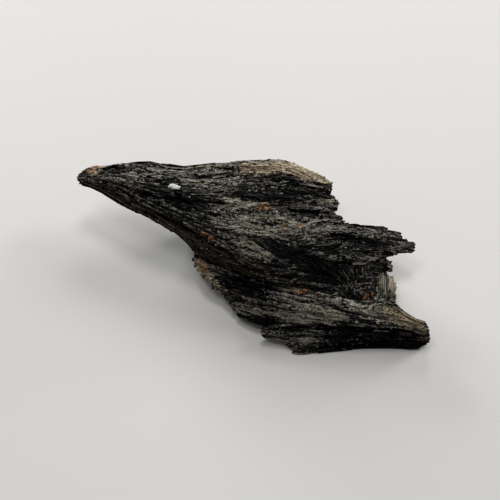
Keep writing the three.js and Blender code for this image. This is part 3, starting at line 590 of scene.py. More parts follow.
def core(bag, slab, nu, nt, nw, end_inset, depth=1.0):
    """The grown mass of one slab as a closed skin: upper face, underside, both long walls and both broken ends."""
    rng = np.random.default_rng(slab.seed + 50)
    t = np.linspace(0, slab.last, nt + 1)
    x0, x1 = slab.strip_ends(t)
    rag = Rows(rng, -0.5, slab.last + 0.5, 0.16, 1000, slab.span, 0.5, 0.1)
    x0 = x0 + end_inset + np.abs(rag(0 * t, t)) * 1.1
    x1 = x1 - end_inset - np.abs(rag(0 * t + 3000, t)) * 1.6
    u = np.linspace(0, 1, nu + 1)
    x = x0[None] + (x1 - x0)[None] * u[:, None]
    tt = np.broadcast_to(t[None], x.shape)
    top, ntop, _, mm = slab.top(x, tt)
    low = slab.under(x, tt)
    v = np.linspace(0, 1, nw + 1)[1:-1]
    front = top[:, -1:, :] + (low[:, -1:, :] - top[:, -1:, :]) * v[None, :, None]
    back = low[:, :1, :] + (top[:, :1, :] - low[:, :1, :]) * v[None, :, None]
    ring = np.concatenate([top, front, low[:, ::-1], back], 1)
    r = ring.shape[1]
    du = np.gradient(ring, axis=0)
    du[..., :] = unit(du)
    dr = np.roll(ring, -1, 1) - np.roll(ring, 1, 1)
    nrm = unit(np.cross(du, dr))
    ref = (nrm[:, : nt + 1] * ntop).sum(-1).mean()
    if ref < 0:
        nrm = -nrm
    # heights of the relief on each stretch of the ring
    k = slab.taper(x)
    h_top = slab.coarse(x, tt, mm) + k * (0.4 * slab.bundles(x, tt) + slab.blades(x, tt))
    fibre = noise(np.stack([x * 0.09, tt * mm * 2.6, 0 * x], -1), 1.0, 3) - 0.5
    crust = np.clip(patch(top, ("cream", "tan", "grit", "olive"), SLAB_KEY[slab.name]), 0, 1)
    lumps = noise(top * np.array([0.7, 1, 1]), 0.95, 5) - 0.5 + 0.7 * (noise(top, 0.55, 6) - 0.5)
    h_top = h_top * lerp(1.0, 0.8, crust) + 0.2 * fibre + k * lumps * lerp(0.3, 0.95, crust)
    cream = patch(top, ("cream",), SLAB_KEY[slab.name])
    h_top = h_top + 0.35 * cream
    h_low = k * (slab.under_ledges(x, tt) + slab.under_bundles(x, tt)) + 0.3 * (
        noise(np.stack([x * 0.09, tt * mm * 2.2, 0 * x], -1), 1.0, 13) - 0.5
    )

    def wall(p, seed):
        c = p[..., 2]
        return (
            np.minimum(slab.taper(p[..., 0]), 1) * (slab.wall_ledges(p[..., 0], c + seed) + slab.wall_bundles(p[..., 0], c + seed))
            + 0.3 * (noise(p * np.array([0.1, 1, 1]), 0.5, seed) - 0.5)
            + 0.25 * (noise(p, 0.9, seed + 2) - 0.5)
        )

    rise = np.concatenate([h_top, wall(front, 1.3), h_low[:, ::-1], wall(back, 2.6)], 1) * depth
    ends = smooth(0, 0.012, u) * smooth(1, 0.988, u)
    rise = rise * lerp(0.35, 1.0, ends)[:, None]
    out = ring + nrm * rise[..., None]
    out[..., 2] = np.maximum(out[..., 2], 0.03 + 0.25 * noise(out * np.array([0.3, 1, 1]), 1.1, 8))
    # where the upper face and underside come close they must not cross
    gap = out[:, : nt + 1, 2] - out[:, nt + nw : 2 * nt + nw + 1][:, ::-1, 2]
    push = np.maximum(0, 0.5 - gap)
    out[:, : nt + 1, 2] += push
    cap0 = (top[:, None] + (low - top)[:, None] * v[None, :, None, None]) if False else None
    verts = [out.reshape(-1, 3)]
    ids = np.arange((nu + 1) * r).reshape(nu + 1, r)
    faces = [
        np.stack([ids[:-1], ids[1:], np.roll(ids, -1, 1)[1:], np.roll(ids, -1, 1)[:-1]], -1).reshape(-1, 4)
    ]
    base = (nu + 1) * r
    for end, row in ((0, 0), (1, nu)):
        a = out[row, : nt + 1]
        b = out[row, nt + nw : 2 * nt + nw + 1][::-1]
        grid = np.empty((nt + 1, nw + 1), np.int64)
        grid[:, 0] = ids[row, : nt + 1]
        grid[:, nw] = ids[row, nt + nw : 2 * nt + nw + 1][::-1]
        grid[nt, 1:nw] = ids[row, nt + 1 : nt + nw]
        grid[0, 1:nw] = ids[row, 2 * nt + nw + 1 : r][::-1]
        inner = a[1:nt, None] + (b - a)[1:nt, None] * v[None, :, None]
        bump = (noise(inner * np.array([1, 1.3, 1.3]), 0.9, 21 + end) - 0.5) * 1.3
        inner[..., 0] += bump if end else -bump
        grid[1:nt, 1:nw] = base + np.arange((nt - 1) * (nw - 1)).reshape(nt - 1, nw - 1)
        verts.append(inner.reshape(-1, 3))
        base += (nt - 1) * (nw - 1)
        q = np.stack([grid[:-1, :-1], grid[1:, :-1], grid[1:, 1:], grid[:-1, 1:]], -1).reshape(-1, 4)
        faces.append(q if end else q[:, ::-1])
    verts = np.concatenate(verts)
    # the skin must face out: test its signed volume
    f = np.concatenate(faces)
    a, b, c, d = (verts[f[:, i]] for i in range(4))
    vol = (np.cross(b - a, c - a) * a).sum() + (np.cross(c - a, d - a) * a).sum()
    if vol < 0:
        faces = [g[:, ::-1] for g in faces]
    ring_t = np.concatenate([tt * mm, np.full((nu + 1, nw - 1), 90.0) + front[..., 2], 60 + (tt * mm)[:, ::-1], np.full((nu + 1, nw - 1), 130.0) + back[..., 2]], 1)
    flow = np.zeros((len(verts), 3))
    flow[: ids.size] = np.stack([out[..., 0], ring_t, np.zeros_like(ring_t)], -1).reshape(-1, 3)
    flow[ids.size :] = verts[ids.size :] * np.array([1, 1, 1])
    flow[ids.size :, 1] += 40 + verts[ids.size :, 2] * 3
    # how far each point stands out of its surroundings, and the tone of the blade it belongs to; low spots of the
    # relief, the walls, the underside and the broken ends get low bare values, which paint shade onto them
    wall_bare = np.full((nu + 1, nw - 1), 0.55)
    high = smooth(-0.75, 0.8, h_top / np.maximum(k, 0.4))
    bare = np.concatenate([high, wall_bare, np.full(tt.shape, 0.6), wall_bare], 1)
    shade = 0.3 * slab.ledges.shade(x, tt) + 0.4 * slab.bundles.shade(x, tt) + 0.3 * slab.blades.shade(x, tt)
    flat = np.full((nu + 1, nw - 1), 0.4)
    shades = np.concatenate([shade, flat, shade[:, ::-1], flat], 1)
    tone = np.concatenate([shades.reshape(-1), np.full(len(verts) - ids.size, 0.4)])
    bare = np.concatenate([bare.reshape(-1), np.full(len(verts) - ids.size, 0.35)])
    bag.add(verts, faces, flow, tone, SLAB_KEY[slab.name], bare)


SECTIONS = {
    4: np.array([(-0.5, -0.45), (0.5, -0.5), (0.45, 0.45), (-0.42, 0.5)]),
    5: np.array([(-0.5, -0.3), (-0.1, -0.55), (0.5, -0.4), (0.45, 0.45), (-0.4, 0.5)]),
    6: np.array([(-0.5, -0.1), (-0.4, -0.5), (0.35, -0.5), (0.5, 0.0), (0.4, 0.48), (-0.35, 0.5)]),
}


def prisms(bag, rng, path, normal, width, depth, slab, corners=5, roll=20.0, blunt=0.75, slant=0.5, tone=None, jitter=0.1):
    """Closed blades along paths [n, stations, 3], with irregular sections and broken ends."""
    n, s = path.shape[:2]
    if n == 0:
        return
    tangent = unit(np.gradient(path, axis=1))
    normal = unit(normal - (normal * tangent).sum(-1, keepdims=True) * tangent)
    side = np.cross(tangent, normal)
    a = np.radians(rng.normal(0, roll, n))[:, None, None]
    ns = unit(side * np.cos(a) + normal * np.sin(a))
    nn = np.cross(ns, tangent)
    sec = SECTIONS[corners][None] + rng.uniform(-jitter, jitter, (n, corners, 2))
    scale_w = rng.uniform(0.85, 1.1, (n, s))
    scale_h = rng.uniform(0.85, 1.1, (n, s))
    for e in (0, -1):
        scale_w[:, e] *= rng.uniform(blunt, 1.0, n)
        scale_h[:, e] *= rng.uniform(blunt, 1.0, n)
    w = (width[:, None] * scale_w)[:, :, None]
    h = (depth[:, None] * scale_h)[:, :, None]
    px = sec[:, None, :, 0] * w
    py = sec[:, None, :, 1] * h
    pts = path[:, :, None] + ns[:, :, None] * px[..., None] + nn[:, :, None] * py[..., None]
    for e in (0, -1):  # the break is not square to the blade
        k = rng.uniform(-slant, slant, (n, 2)) * 2
        shift = k[:, :1] * px[:, e] + k[:, 1:] * py[:, e] + rng.uniform(-0.12, 0.12, (n, corners)) * width[:, None]
        pts[:, e] += tangent[:, e][:, None] * shift[..., None]
    pts[..., 2] = np.maximum(pts[..., 2], 0.02)
    ids = np.arange(n * s * corners).reshape(n, s, corners)
    nxt = np.roll(ids, -1, 2)
    quads = np.stack([ids[:, :-1], nxt[:, :-1], nxt[:, 1:], ids[:, 1:]], -1).reshape(-1, 4)
    caps = [ids[:, 0, ::-1], ids[:, -1]]
    # outward test on the first blade: ns x nn = -tangent or +tangent
    flip = (np.cross(ns[0, 0], nn[0, 0]) * tangent[0, 0]).sum() < 0
    if flip:
        quads = quads[:, ::-1]
        caps = [c[:, ::-1] for c in caps]
    off = rng.uniform(0, 400, n)[:, None, None]
    arc = np.concatenate([np.zeros((n, 1)), np.cumsum(np.linalg.norm(np.diff(path, axis=1), axis=-1), 1)], 1)
    flow = np.stack(
        [np.broadcast_to(arc[:, :, None] + off, px.shape), px + off * 0.7, py + off * 0.3], -1
    )
    tone = rng.uniform(0, 1, n) if tone is None else tone
    # painted shade: each blade is darker on its lower side, towards the surface it lies on
    out = (pts - path[:, :, None]) * normal[:, :, None]
    bare = smooth(-0.3, 0.25, out.sum(-1) / depth[:, None, None])
    bag.add(pts, [quads, *caps], flow, np.broadcast_to(tone[:, None, None], px.shape).reshape(-1), slab, bare.reshape(-1))


OCTA = np.array([(1, 0, 0), (-1, 0, 0), (0, 1, 0), (0, -1, 0), (0, 0, 1), (0, 0, -1)], float)
OCTA_F = np.array([(0, 2, 4), (2, 1, 4), (1, 3, 4), (3, 0, 4), (2, 0, 5), (1, 2, 5), (3, 1, 5), (0, 3, 5)])
PHI = (1 + 5**0.5) / 2
ICO = unit(np.array([(-1, PHI, 0), (1, PHI, 0), (-1, -PHI, 0), (1, -PHI, 0), (0, -1, PHI), (0, 1, PHI), (0, -1, -PHI), (0, 1, -PHI), (PHI, 0, -1), (PHI, 0, 1), (-PHI, 0, -1), (-PHI, 0, 1)]))
ICO_F = np.array([(0, 11, 5), (0, 5, 1), (0, 1, 7), (0, 7, 10), (0, 10, 11), (1, 5, 9), (5, 11, 4), (11, 10, 2), (10, 7, 6), (7, 1, 8), (3, 9, 4), (3, 4, 2), (3, 2, 6), (3, 6, 8), (3, 8, 9), (4, 9, 5), (2, 4, 11), (6, 2, 10), (8, 6, 7), (9, 8, 1)])


def turns(rng, n):
    q = unit(rng.normal(size=(n, 4)))
    w, x, y, z = q.T
    return np.stack(
        [
            np.stack([1 - 2 * (y * y + z * z), 2 * (x * y - z * w), 2 * (x * z + y * w)], -1),
            np.stack([2 * (x * y + z * w), 1 - 2 * (x * x + z * z), 2 * (y * z - x * w)], -1),
            np.stack([2 * (x * z - y * w), 2 * (y * z + x * w), 1 - 2 * (x * x + y * y)], -1),
        ],
        1,
    )


def grains(bag, rng, at, size, slab, round_=False, tone=None):
    """Small angular crumbs at points [n, 3]."""
    n = len(at)
    base, f = (ICO, ICO_F) if round_ else (OCTA, OCTA_F)
    m = len(base)
    shape = base[None] * rng.uniform(0.6, 1.2, (n, m, 1)) * (size[:, None, None] * 0.5) * rng.uniform(0.65, 1.25, (n, 1, 3))
    pts = np.einsum("nij,nmj->nmi", turns(rng, n), shape) + at[:, None]
    pts[..., 2] = np.maximum(pts[..., 2], 0.02)
    faces = (f[None] + (np.arange(n) * m)[:, None, None]).reshape(-1, 3)
    tone = rng.uniform(0, 1, n) if tone is None else tone
    bag.add(pts, [faces], pts + rng.uniform(0, 300, (n, 1, 1)), np.repeat(tone, m), slab)


def flakes(bag, rng, at, normal, size, thick, slab, corners=5, spread=0.5, tone=None):
    """Thin mica plates at points [n, 3], facing roughly along normal."""
    n = len(at)
    nn = unit(normal + rng.normal(0, spread, (n, 3)))
    ref = unit(rng.normal(size=(n, 3)))
    u = unit(np.cross(nn, ref))
    v = np.cross(nn, u)
    ang = (np.arange(corners) / corners * 2 * np.pi)[None] + rng.uniform(-0.35, 0.35, (n, corners))
    rad = size[:, None] * 0.5 * rng.uniform(0.6, 1.15, (n, corners))
    stretch = rng.uniform(0.55, 1.0, (n, 1))
    rim = u[:, None] * (np.cos(ang) * rad)[..., None] + v[:, None] * (np.sin(ang) * rad * stretch)[..., None]
    hi = at[:, None] + rim + nn[:, None] * thick[:, None, None] * 0.5
    lo = at[:, None] + rim - nn[:, None] * thick[:, None, None] * 0.5
    pts = np.concatenate([hi, lo], 1)
    pts[..., 2] = np.maximum(pts[..., 2], 0.02)
    ids = np.arange(n * 2 * corners).reshape(n, 2, corners)
    nxt = np.roll(ids, -1, 2)
    side = np.stack([ids[:, 1], nxt[:, 1], nxt[:, 0], ids[:, 0]], -1).reshape(-1, 4)
    tone = rng.uniform(0, 1, n) if tone is None else tone
    bag.add(pts, [ids[:, 0], ids[:, 1, ::-1], side], pts + rng.uniform(0, 300, (n, 1, 1)), np.repeat(tone, 2 * corners), slab)


# ---------------------------------------------------------------- materials


def set_in(node, name, value):
    node.inputs[name].default_value = value


class Nodes:
    def __init__(self, name):
        self.mat = bpy.data.materials.new(name)
        self.mat.use_nodes = True
        self.nt = self.mat.node_tree
        self.nt.nodes.clear()

    def new(self, kind, **values):
        node = self.nt.nodes.new(kind)
        for key, value in values.items():
            setattr(node, key, value)
        return node

    def link(self, a, b):
        self.nt.links.new(a, b)

    def value(self, socket, x):
        if isinstance(x, (int, float)):
            socket.default_value = x
        elif isinstance(x, tuple):
            socket.default_value = x
        else:
            self.link(x, socket)

    def math(self, op, a, b=0.0, c=None, clamp=False):
        node = self.new("ShaderNodeMath", operation=op, use_clamp=clamp)
        self.value(node.inputs[0], a)
        self.value(node.inputs[1], b)
        if c is not None:
            self.value(node.inputs[2], c)
        return node.outputs[0]

    def ramp(self, x, lo, hi):
        """0 below lo, 1 above hi."""
        node = self.new("ShaderNodeMapRange", clamp=True, interpolation_type="SMOOTHSTEP")
        self.value(node.inputs["Value"], x)
        self.value(node.inputs["From Min"], lo)
        self.value(node.inputs["From Max"], hi)
        return node.outputs["Result"]

    def span(self, x, lo, hi):
        node = self.new("ShaderNodeMapRange", clamp=True)
        self.value(node.inputs["Value"], x)
        node.inputs["To Min"].default_value = lo
        node.inputs["To Max"].default_value = hi
        return node.outputs["Result"]

    def mix(self, f, a, b):
        node = self.new("ShaderNodeMix", data_type="RGBA")
        self.value(node.inputs[0], f)
        self.value(node.inputs[6], a)
        self.value(node.inputs[7], b)
        return node.outputs[2]

    def noise(self, vector, scale, detail=2.0, rough=0.55):
        node = self.new("ShaderNodeTexNoise")
        self.link(vector, node.inputs["Vector"])
        set_in(node, "Scale", scale)
        set_in(node, "Detail", detail)
        set_in(node, "Roughness", rough)
        return node.outputs[0]

    def scaled(self, vector, xyz):
        node = self.new("ShaderNodeVectorMath", operation="MULTIPLY")
        self.link(vector, node.inputs[0])
        node.inputs[1].default_value = xyz
        return node.outputs[0]

    def attribute(self, name):
        return self.new("ShaderNodeAttribute", attribute_name=name)


def rgb(r, g, b):
    return (r, g, b, 1.0)


def rock(name, dark=1.0, gray=0.0, brown=0.0, rough=0.5, bump=0.5):
    """Dark bladed crystal with mica, crust and rust."""
    n = Nodes(name)
    flow = n.attribute("flow").outputs["Vector"]
    crust = n.attribute("crust")
    body = n.attribute("body")
    split_c = n.new("ShaderNodeSeparateColor")
    n.link(crust.outputs["Color"], split_c.inputs[0])
    cream, rust, tan = split_c.outputs[0], split_c.outputs[1], split_c.outputs[2]
    pale = crust.outputs["Alpha"]
    split_b = n.new("ShaderNodeSeparateColor")
    n.link(body.outputs["Color"], split_b.inputs[0])
    grit, up, tone = split_b.outputs[0], split_b.outputs[1], split_b.outputs[2]
    bare = body.outputs["Alpha"]
    coords = n.new("ShaderNodeTexCoord").outputs["Object"]
    mm = n.scaled(coords, (1000.0, 1000.0, 1000.0))
    streak = n.noise(n.scaled(flow, (0.2, 1.0, 1.0)), 1.1, 3.0, 0.62)
    fine = n.noise(n.scaled(flow, (0.24, 1.0, 1.0)), 2.6, 2.0, 0.6)
    speck = n.noise(n.scaled(mm, (0.7, 1.0, 1.0)), 1.9, 2.0, 0.6)
    speck2 = n.noise(n.scaled(mm, (0.8, 1.0, 1.0)), 3.4, 1.0, 0.5)
    blotch = n.noise(n.scaled(mm, (0.4, 1.0, 1.0)), 0.5, 3.0, 0.62)
    v = n.math("ADD", n.math("MULTIPLY", speck, 0.6), n.math("MULTIPLY", speck2, 0.4))
    # the dark blades
    low = (0.0014 * dark * (1 + 1.0 * brown), 0.0013 * dark, 0.0014 * dark * (1 - 0.3 * brown))
    mid = (0.0115 * dark * (1 + 0.5 * brown), 0.0108 * dark, 0.011 * dark * (1 - 0.3 * brown))
    high = (0.192 * dark * (1 + 0.2 * brown), 0.176 * dark, 0.151 * dark * (1 - 0.25 * brown))
    dark_col = n.mix(n.ramp(streak, 0.4, 0.62), rgb(*low), rgb(*mid))
    # pale fibres along the blades: more of them on some blades than on others
    fibre = n.math("ADD", n.math("MULTIPLY", fine, 0.62), n.math("MULTIPLY", v, 0.38))
    fibre = n.math("MULTIPLY_ADD", n.math("SUBTRACT", tone, 0.5), 0.17, fibre)
    fibre = n.math("MULTIPLY_ADD", grit, 0.035, fibre)
    # the pale fibres fade out where bare is low: part of the painted shade of the gaps
    line = n.math("MULTIPLY", n.ramp(fibre, 0.54, 0.59), n.math("MULTIPLY", bare, bare))
    dark_col = n.mix(line, dark_col, rgb(*high))
    # silvery mica and grit: thick where the grit mask is high, in patches and rows, never even
    rows = n.ramp(n.math("ADD", n.math("MULTIPLY", blotch, 0.55), n.math("MULTIPLY", streak, 0.45)), 0.4, 0.6)
    amount = n.math("MULTIPLY", n.math("MULTIPLY_ADD", grit, 0.33, 0.02 + gray), n.span(rows, 0.2, 1.0))
    amount = n.math("MULTIPLY_ADD", n.math("SUBTRACT", tone, 0.5), 0.12, amount)
    # less mica where bare is low: part of the painted shade of the gaps
    amount = n.math("MULTIPLY_ADD", n.math("SUBTRACT", bare, 0.75), 0.14, amount)
    grain = n.math("ADD", n.math("MULTIPLY", v, 0.6), n.math("MULTIPLY", fine, 0.4))
    mica = n.ramp(n.math("ADD", grain, amount), 0.65, 0.72)
    mica_col = n.mix(n.ramp(speck2, 0.38, 0.62), rgb(0.085, 0.08, 0.062), rgb(0.37, 0.345, 0.27))
    mica_col = n.mix(n.ramp(n.noise(mm, 2.6, 1.0, 0.5), 0.62, 0.72), mica_col, rgb(0.5, 0.475, 0.41))
    col = n.mix(n.math("MULTIPLY", mica, 0.95), dark_col, mica_col)
    # mineral crust
    lumpy = n.math("ADD", n.math("MULTIPLY", n.noise(n.scaled(mm, (0.6, 1.0, 1.0)), 0.8, 3.0, 0.65), 0.7), n.math("MULTIPLY", speck, 0.3))

    def cover(mask, lo, hi):
        return n.ramp(n.math("ADD", mask, n.math("MULTIPLY", n.math("SUBTRACT", lumpy, 0.5), 3.2)), lo, hi)

    tan_k = cover(tan, 0.5, 0.9)
    tan_col = n.mix(n.ramp(v, 0.4, 0.6), rgb(0.06, 0.048, 0.028), rgb(0.44, 0.36, 0.24))
    col = n.mix(n.math("MULTIPLY", tan_k, 0.85), col, tan_col)
    pale_k = cover(pale, 0.5, 0.9)
    pale_col = n.mix(n.ramp(v, 0.4, 0.6), rgb(0.14, 0.135, 0.1), rgb(0.54, 0.52, 0.4))
    col = n.mix(n.math("MULTIPLY", pale_k, 0.9), col, pale_col)
    cream_k = cover(cream, 0.4, 0.8)
    cream_col = n.mix(n.ramp(v, 0.38, 0.6), rgb(0.15, 0.115, 0.07), rgb(0.52, 0.43, 0.3))
    cream_col = n.mix(n.math("MULTIPLY", n.ramp(blotch, 0.52, 0.66), 0.5), cream_col, rgb(0.3, 0.28, 0.22))
    col = n.mix(n.math("MULTIPLY", cream_k, 0.93), col, cream_col)
    rust_k = cover(rust, 0.55, 0.95)
    rust_col = n.mix(n.ramp(v, 0.38, 0.62), rgb(0.08, 0.028, 0.009), rgb(0.6, 0.265, 0.085))
    col = n.mix(n.math("MULTIPLY", rust_k, 0.85), col, rust_col)
    crusty = n.math("MAXIMUM", n.math("MAXIMUM", tan_k, pale_k), n.math("MAXIMUM", cream_k, rust_k))
    # painted shade: the colour is darkened in the gaps between blades and on the walls and underside, where shade
    # falls; crust is darkened less
    shade = n.math("MAXIMUM", n.span(bare, 0.05, 1.0), n.math("MULTIPLY", crusty, 0.75))
    painted_gap_shade = n.new("ShaderNodeMix", data_type="RGBA", blend_type="MULTIPLY")
    painted_gap_shade.inputs[0].default_value = 1.0
    n.link(col, painted_gap_shade.inputs[6])
    n.link(shade, painted_gap_shade.inputs[7])
    bsdf = n.new("ShaderNodeBsdfPrincipled")
    n.link(painted_gap_shade.outputs[2], bsdf.inputs["Base Color"])
    r = n.math("ADD", n.math("MULTIPLY", n.ramp(blotch, 0.3, 0.7), 0.16), rough - 0.06)
    r = n.math("ADD", r, n.math("MULTIPLY", crusty, 0.3), clamp=True)
    n.link(r, bsdf.inputs["Roughness"])
    set_in(bsdf, "IOR", 1.6)
    gloss = n.math("MULTIPLY", n.math("MULTIPLY", bare, n.ramp(streak, 0.42, 0.62)), n.math("MULTIPLY_ADD", tone, 0.24, 0.03))
    n.link(n.math("ADD", gloss, 0.006), bsdf.inputs["Specular IOR Level"])
    bump_node = n.new("ShaderNodeBump")
    set_in(bump_node, "Strength", bump)
    set_in(bump_node, "Distance", 0.0003)
    height = n.math("ADD", n.math("MULTIPLY", fine, n.span(crusty, 0.9, 0.2)), n.math("MULTIPLY", v, n.span(grit, 0.5, 1.0)))
    n.link(height, bump_node.inputs["Height"])
    n.link(bump_node.outputs["Normal"], bsdf.inputs["Normal"])
    out = n.new("ShaderNodeOutputMaterial")
    n.link(bsdf.outputs[0], out.inputs[0])
    return n.mat


def crumb(name, dull, bright, rough, ior=1.5, gloss=0.15):
    """Loose grains and flakes: each has its own tone between dull and bright."""
    n = Nodes(name)
    body = n.attribute("body")
    split_b = n.new("ShaderNodeSeparateColor")
    n.link(body.outputs["Color"], split_b.inputs[0])
    tone = split_b.outputs[2]
    crust = n.attribute("crust")
    split_c = n.new("ShaderNodeSeparateColor")
    n.link(crust.outputs["Color"], split_c.inputs[0])
    mm = n.scaled(n.new("ShaderNodeTexCoord").outputs["Object"], (1000.0, 1000.0, 1000.0))
    v = n.noise(mm, 4.2, 2.0, 0.6)
    k = n.math("ADD", n.math("MULTIPLY", tone, 0.75), n.math("MULTIPLY", v, 0.4), clamp=True)
    col = n.mix(n.ramp(k, 0.2, 1.0), rgb(*dull), rgb(*bright))
    cream_k = n.ramp(split_c.outputs[0], 0.2, 0.7)
    col = n.mix(n.math("MULTIPLY", cream_k, 0.9), col, n.mix(n.ramp(k, 0.2, 0.9), rgb(0.26, 0.21, 0.14), rgb(0.72, 0.63, 0.48)))
    tan_k = n.ramp(split_c.outputs[2], 0.2, 0.8)
    col = n.mix(n.math("MULTIPLY", tan_k, 0.7), col, n.mix(n.ramp(k, 0.2, 0.9), rgb(0.1, 0.085, 0.055), rgb(0.42, 0.36, 0.25)))
    pale_k = n.ramp(crust.outputs["Alpha"], 0.2, 0.8)
    col = n.mix(n.math("MULTIPLY", pale_k, 0.85), col, n.mix(n.ramp(k, 0.2, 0.9), rgb(0.2, 0.19, 0.15), rgb(0.55, 0.53, 0.45)))
    rust_k = n.ramp(split_c.outputs[1], 0.25, 0.8)
    col = n.mix(n.math("MULTIPLY", rust_k, 0.8), col, n.mix(n.ramp(k, 0.2, 0.9), rgb(0.14, 0.045, 0.012), rgb(0.55, 0.27, 0.1)))
    bsdf = n.new("ShaderNodeBsdfPrincipled")
    n.link(col, bsdf.inputs["Base Color"])
    n.link(n.math("ADD", n.math("MULTIPLY", v, 0.2), rough - 0.1), bsdf.inputs["Roughness"])
    set_in(bsdf, "IOR", ior)
    set_in(bsdf, "Specular IOR Level", gloss)
    out = n.new("ShaderNodeOutputMaterial")
    n.link(bsdf.outputs[0], out.inputs[0])
    return n.mat


KYANITE = rock("black_kyanite_blades")
FLANK = rock("kyanite_fibres", dark=0.52, gray=-0.05, brown=1.0, rough=0.46, bump=0.4)
CRUMBS = crumb("crust_grains", (0.008, 0.0078, 0.007), (0.3, 0.283, 0.225), 0.8)
MICA = crumb("mica_flakes", (0.01, 0.01, 0.0095), (0.36, 0.35, 0.315), 0.36, 1.58, 0.4)
GLASSY = crumb("glassy_crystals", (0.012, 0.0115, 0.009), (0.37, 0.34, 0.265), 0.26, 1.6, 0.4)


def white_mineral():
    n = Nodes("white_mineral")
    mm = n.scaled(n.new("ShaderNodeTexCoord").outputs["Object"], (1000.0, 1000.0, 1000.0))
    v = n.noise(mm, 1.6, 3.0, 0.6)
    bsdf = n.new("ShaderNodeBsdfPrincipled")
    n.link(n.mix(n.ramp(v, 0.35, 0.6), rgb(0.42, 0.42, 0.4), rgb(0.8, 0.8, 0.78)), bsdf.inputs["Base Color"])
    set_in(bsdf, "Roughness", 0.6)
    out = n.new("ShaderNodeOutputMaterial")
    n.link(bsdf.outputs[0], out.inputs[0])
    return n.mat


WHITE = white_mineral()

# ---------------------------------------------------------------- the specimen

UPPER = Slab("upper", UPPER_GUIDES, UPPER_STRIPS, UPPER_FOOT, 0.16, 0.03, 32, 101)
LOWER = Slab("lower", LOWER_GUIDES, LOWER_STRIPS, LOWER_FOOT, -0.45, 0.04, 200, 202)
BAR = Slab("bar", BAR_GUIDES, BAR_STRIPS, BAR_FOOT, -0.5, -0.16, 200, 303)

# deep grooves between the blades: t at both ends, x at both ends, half width, depth
UPPER.grooves = [
    (4.65, 3.65, -34, -17, 0.7, 1.1),
    (3.7, 5.0, -20, -7, 0.6, 1.1),
    (2.8, 2.9, -9, 7, 0.6, 1.3),
    (1.9, 2.1, -23, -14, 0.6, 1.0),
    (2.95, 3.05, -2, 15, 0.6, 1.3),
    (2.45, 2.4, 8, 27, 0.5, 1.4),
    (3.55, 3.9, 10, 24, 0.6, 1.3),
    (5.2, 5.9, 6, 46, 0.55, 1.2),
    (5.9, 6.5, 8, 44, 0.6, 1.3),
    (6.5, 6.9, -6, 30, 0.7, 1.5),
    (6.95, 7.4, -2, 26, 0.8, 1.6),
    (7.6, 8.0, 4, 30, 0.8, 1.4),
    (1.15, 1.2, -8, 22, 0.5, 1.0),
    (1.55, 1.6, 0, 24, 0.6, 1.4),
    (0.95, 1.3, 6, 24, 0.5, 1.1),
    (4.3, 4.4, 6, 30, 0.5, 1.1),
    (1.1, 1.3, -42, -24, 0.5, 0.8),
    (2.4, 2.6, -44, -20, 0.5, 0.8),
    (5.6, 5.3, -40, -14, 0.5, 0.8),
]
LOWER.grooves = [
    (0.55, 0.8, -12, 26, 0.6, 1.2),
    (1.25, 1.5, -10, 20, 0.6, 1.3),
    (2.0, 2.2, -8, 30, 0.55, 1.2),
    (2.8, 3.0, -6, 16, 0.6, 1.3),
    (3.6, 3.8, -5, 12, 0.6, 1.2),
    (4.4, 4.6, -4, 10, 0.6, 1.2),
    (5.2, 5.4, 0, 24, 0.5, 1.0),
    (1.6, 1.9, 24, 40, 0.5, 1.0),
]
BAR.grooves = [(0.9, 1.0, 8, 50, 0.4, 0.8), (1.9, 2.1, 12, 44, 0.4, 0.7), (2.9, 2.9, 20, 50, 0.35, 0.6)]
for slab, seed, count in ((UPPER, 1, 46), (LOWER, 2, 22), (BAR, 3, 8)):
    g = np.random.default_rng(seed)
    for _ in range(count):
        t = g.uniform(0.2, slab.last - 0.2)
        x = g.uniform(slab.span[0], slab.span[1] - 8)
        slab.grooves.append((t, t + g.uniform(-0.15, 0.2), x, x + g.uniform(5, 20), g.uniform(0.25, 0.5), g.uniform(0.5, 1.1)))


def surface_blades(bag, slab, rng, count, length, width, depth, lift, t_range=None, x_range=None, corners=5, stations=4, roll=20.0, drift=0.1, sink=0.0, weight=None, keep_out=0.7, blunt=0.7, pitch=0.25):
    """Blades lying along the fibres on the upper face of a slab."""
    t_lo, t_hi = t_range or (0.0, slab.last)
    x_lo, x_hi = x_range or slab.span
    many = count * 6
    t = rng.uniform(t_lo, t_hi, many)
    x = rng.uniform(x_lo, x_hi, many)
    a, b = slab.strip_ends(t)
    ok = (x > a) & (x < b)
    t, x, a, b = t[ok], x[ok], a[ok], b[ok]
    p, _, _, mm = slab.top(x, t)
    # equal numbers per square millimetre: t is spread thin where the fan is wide
    keep = rng.uniform(0, 1, len(t)) < np.clip(mm / 5.0, 0.12, 1)
    g = slab.groove_depth(x, t, mm)
    keep &= g < keep_out
    if weight is not None:
        keep &= rng.uniform(0, 1, len(t)) < weight(p)
    t, x, a, b = (q[keep][:count] for q in (t, x, a, b))
    n = len(t)
    lg = np.exp(rng.uniform(math.log(length[0]), math.log(length[1]), n))
    xs = np.maximum(x - lg * 0.5, a + rng.uniform(-0.4, 0.5, n))
    xe = np.minimum(x + lg * 0.5, b - rng.uniform(-0.3, 0.6, n))
    xe = np.maximum(xe, xs + 0.8)
    s = np.linspace(0, 1, stations)
    xx = xs[:, None] + (xe - xs)[:, None] * s
    tt = np.clip(t[:, None] + rng.normal(0, drift, (n, 1)) * (s - 0.5) * np.minimum(1, lg / 8)[:, None] * 2, 0, slab.last)
    p, nn, _, mm = slab.top(xx, tt)
    rise = slab.coarse(xx, tt, mm)
    mid = rise.mean(1, keepdims=True)
    rise = lerp(rise, mid, 0.55)  # a blade is straighter than the relief under it
    w = np.exp(rng.uniform(math.log(width[0]), math.log(width[1]), n)) * np.clip(mm.mean(1) / 3.2, 0.45, 1.1)
    d = rng.uniform(*depth, n)
    up = rng.uniform(*lift, n)[:, None] + rng.normal(0, pitch, (n, 1)) * (s - 0.5)
    path = p + nn * (rise + up * slab.taper(xx))[..., None]
    prisms(bag, rng, path, nn, w, d, SLAB_KEY[slab.name], corners, roll, blunt)


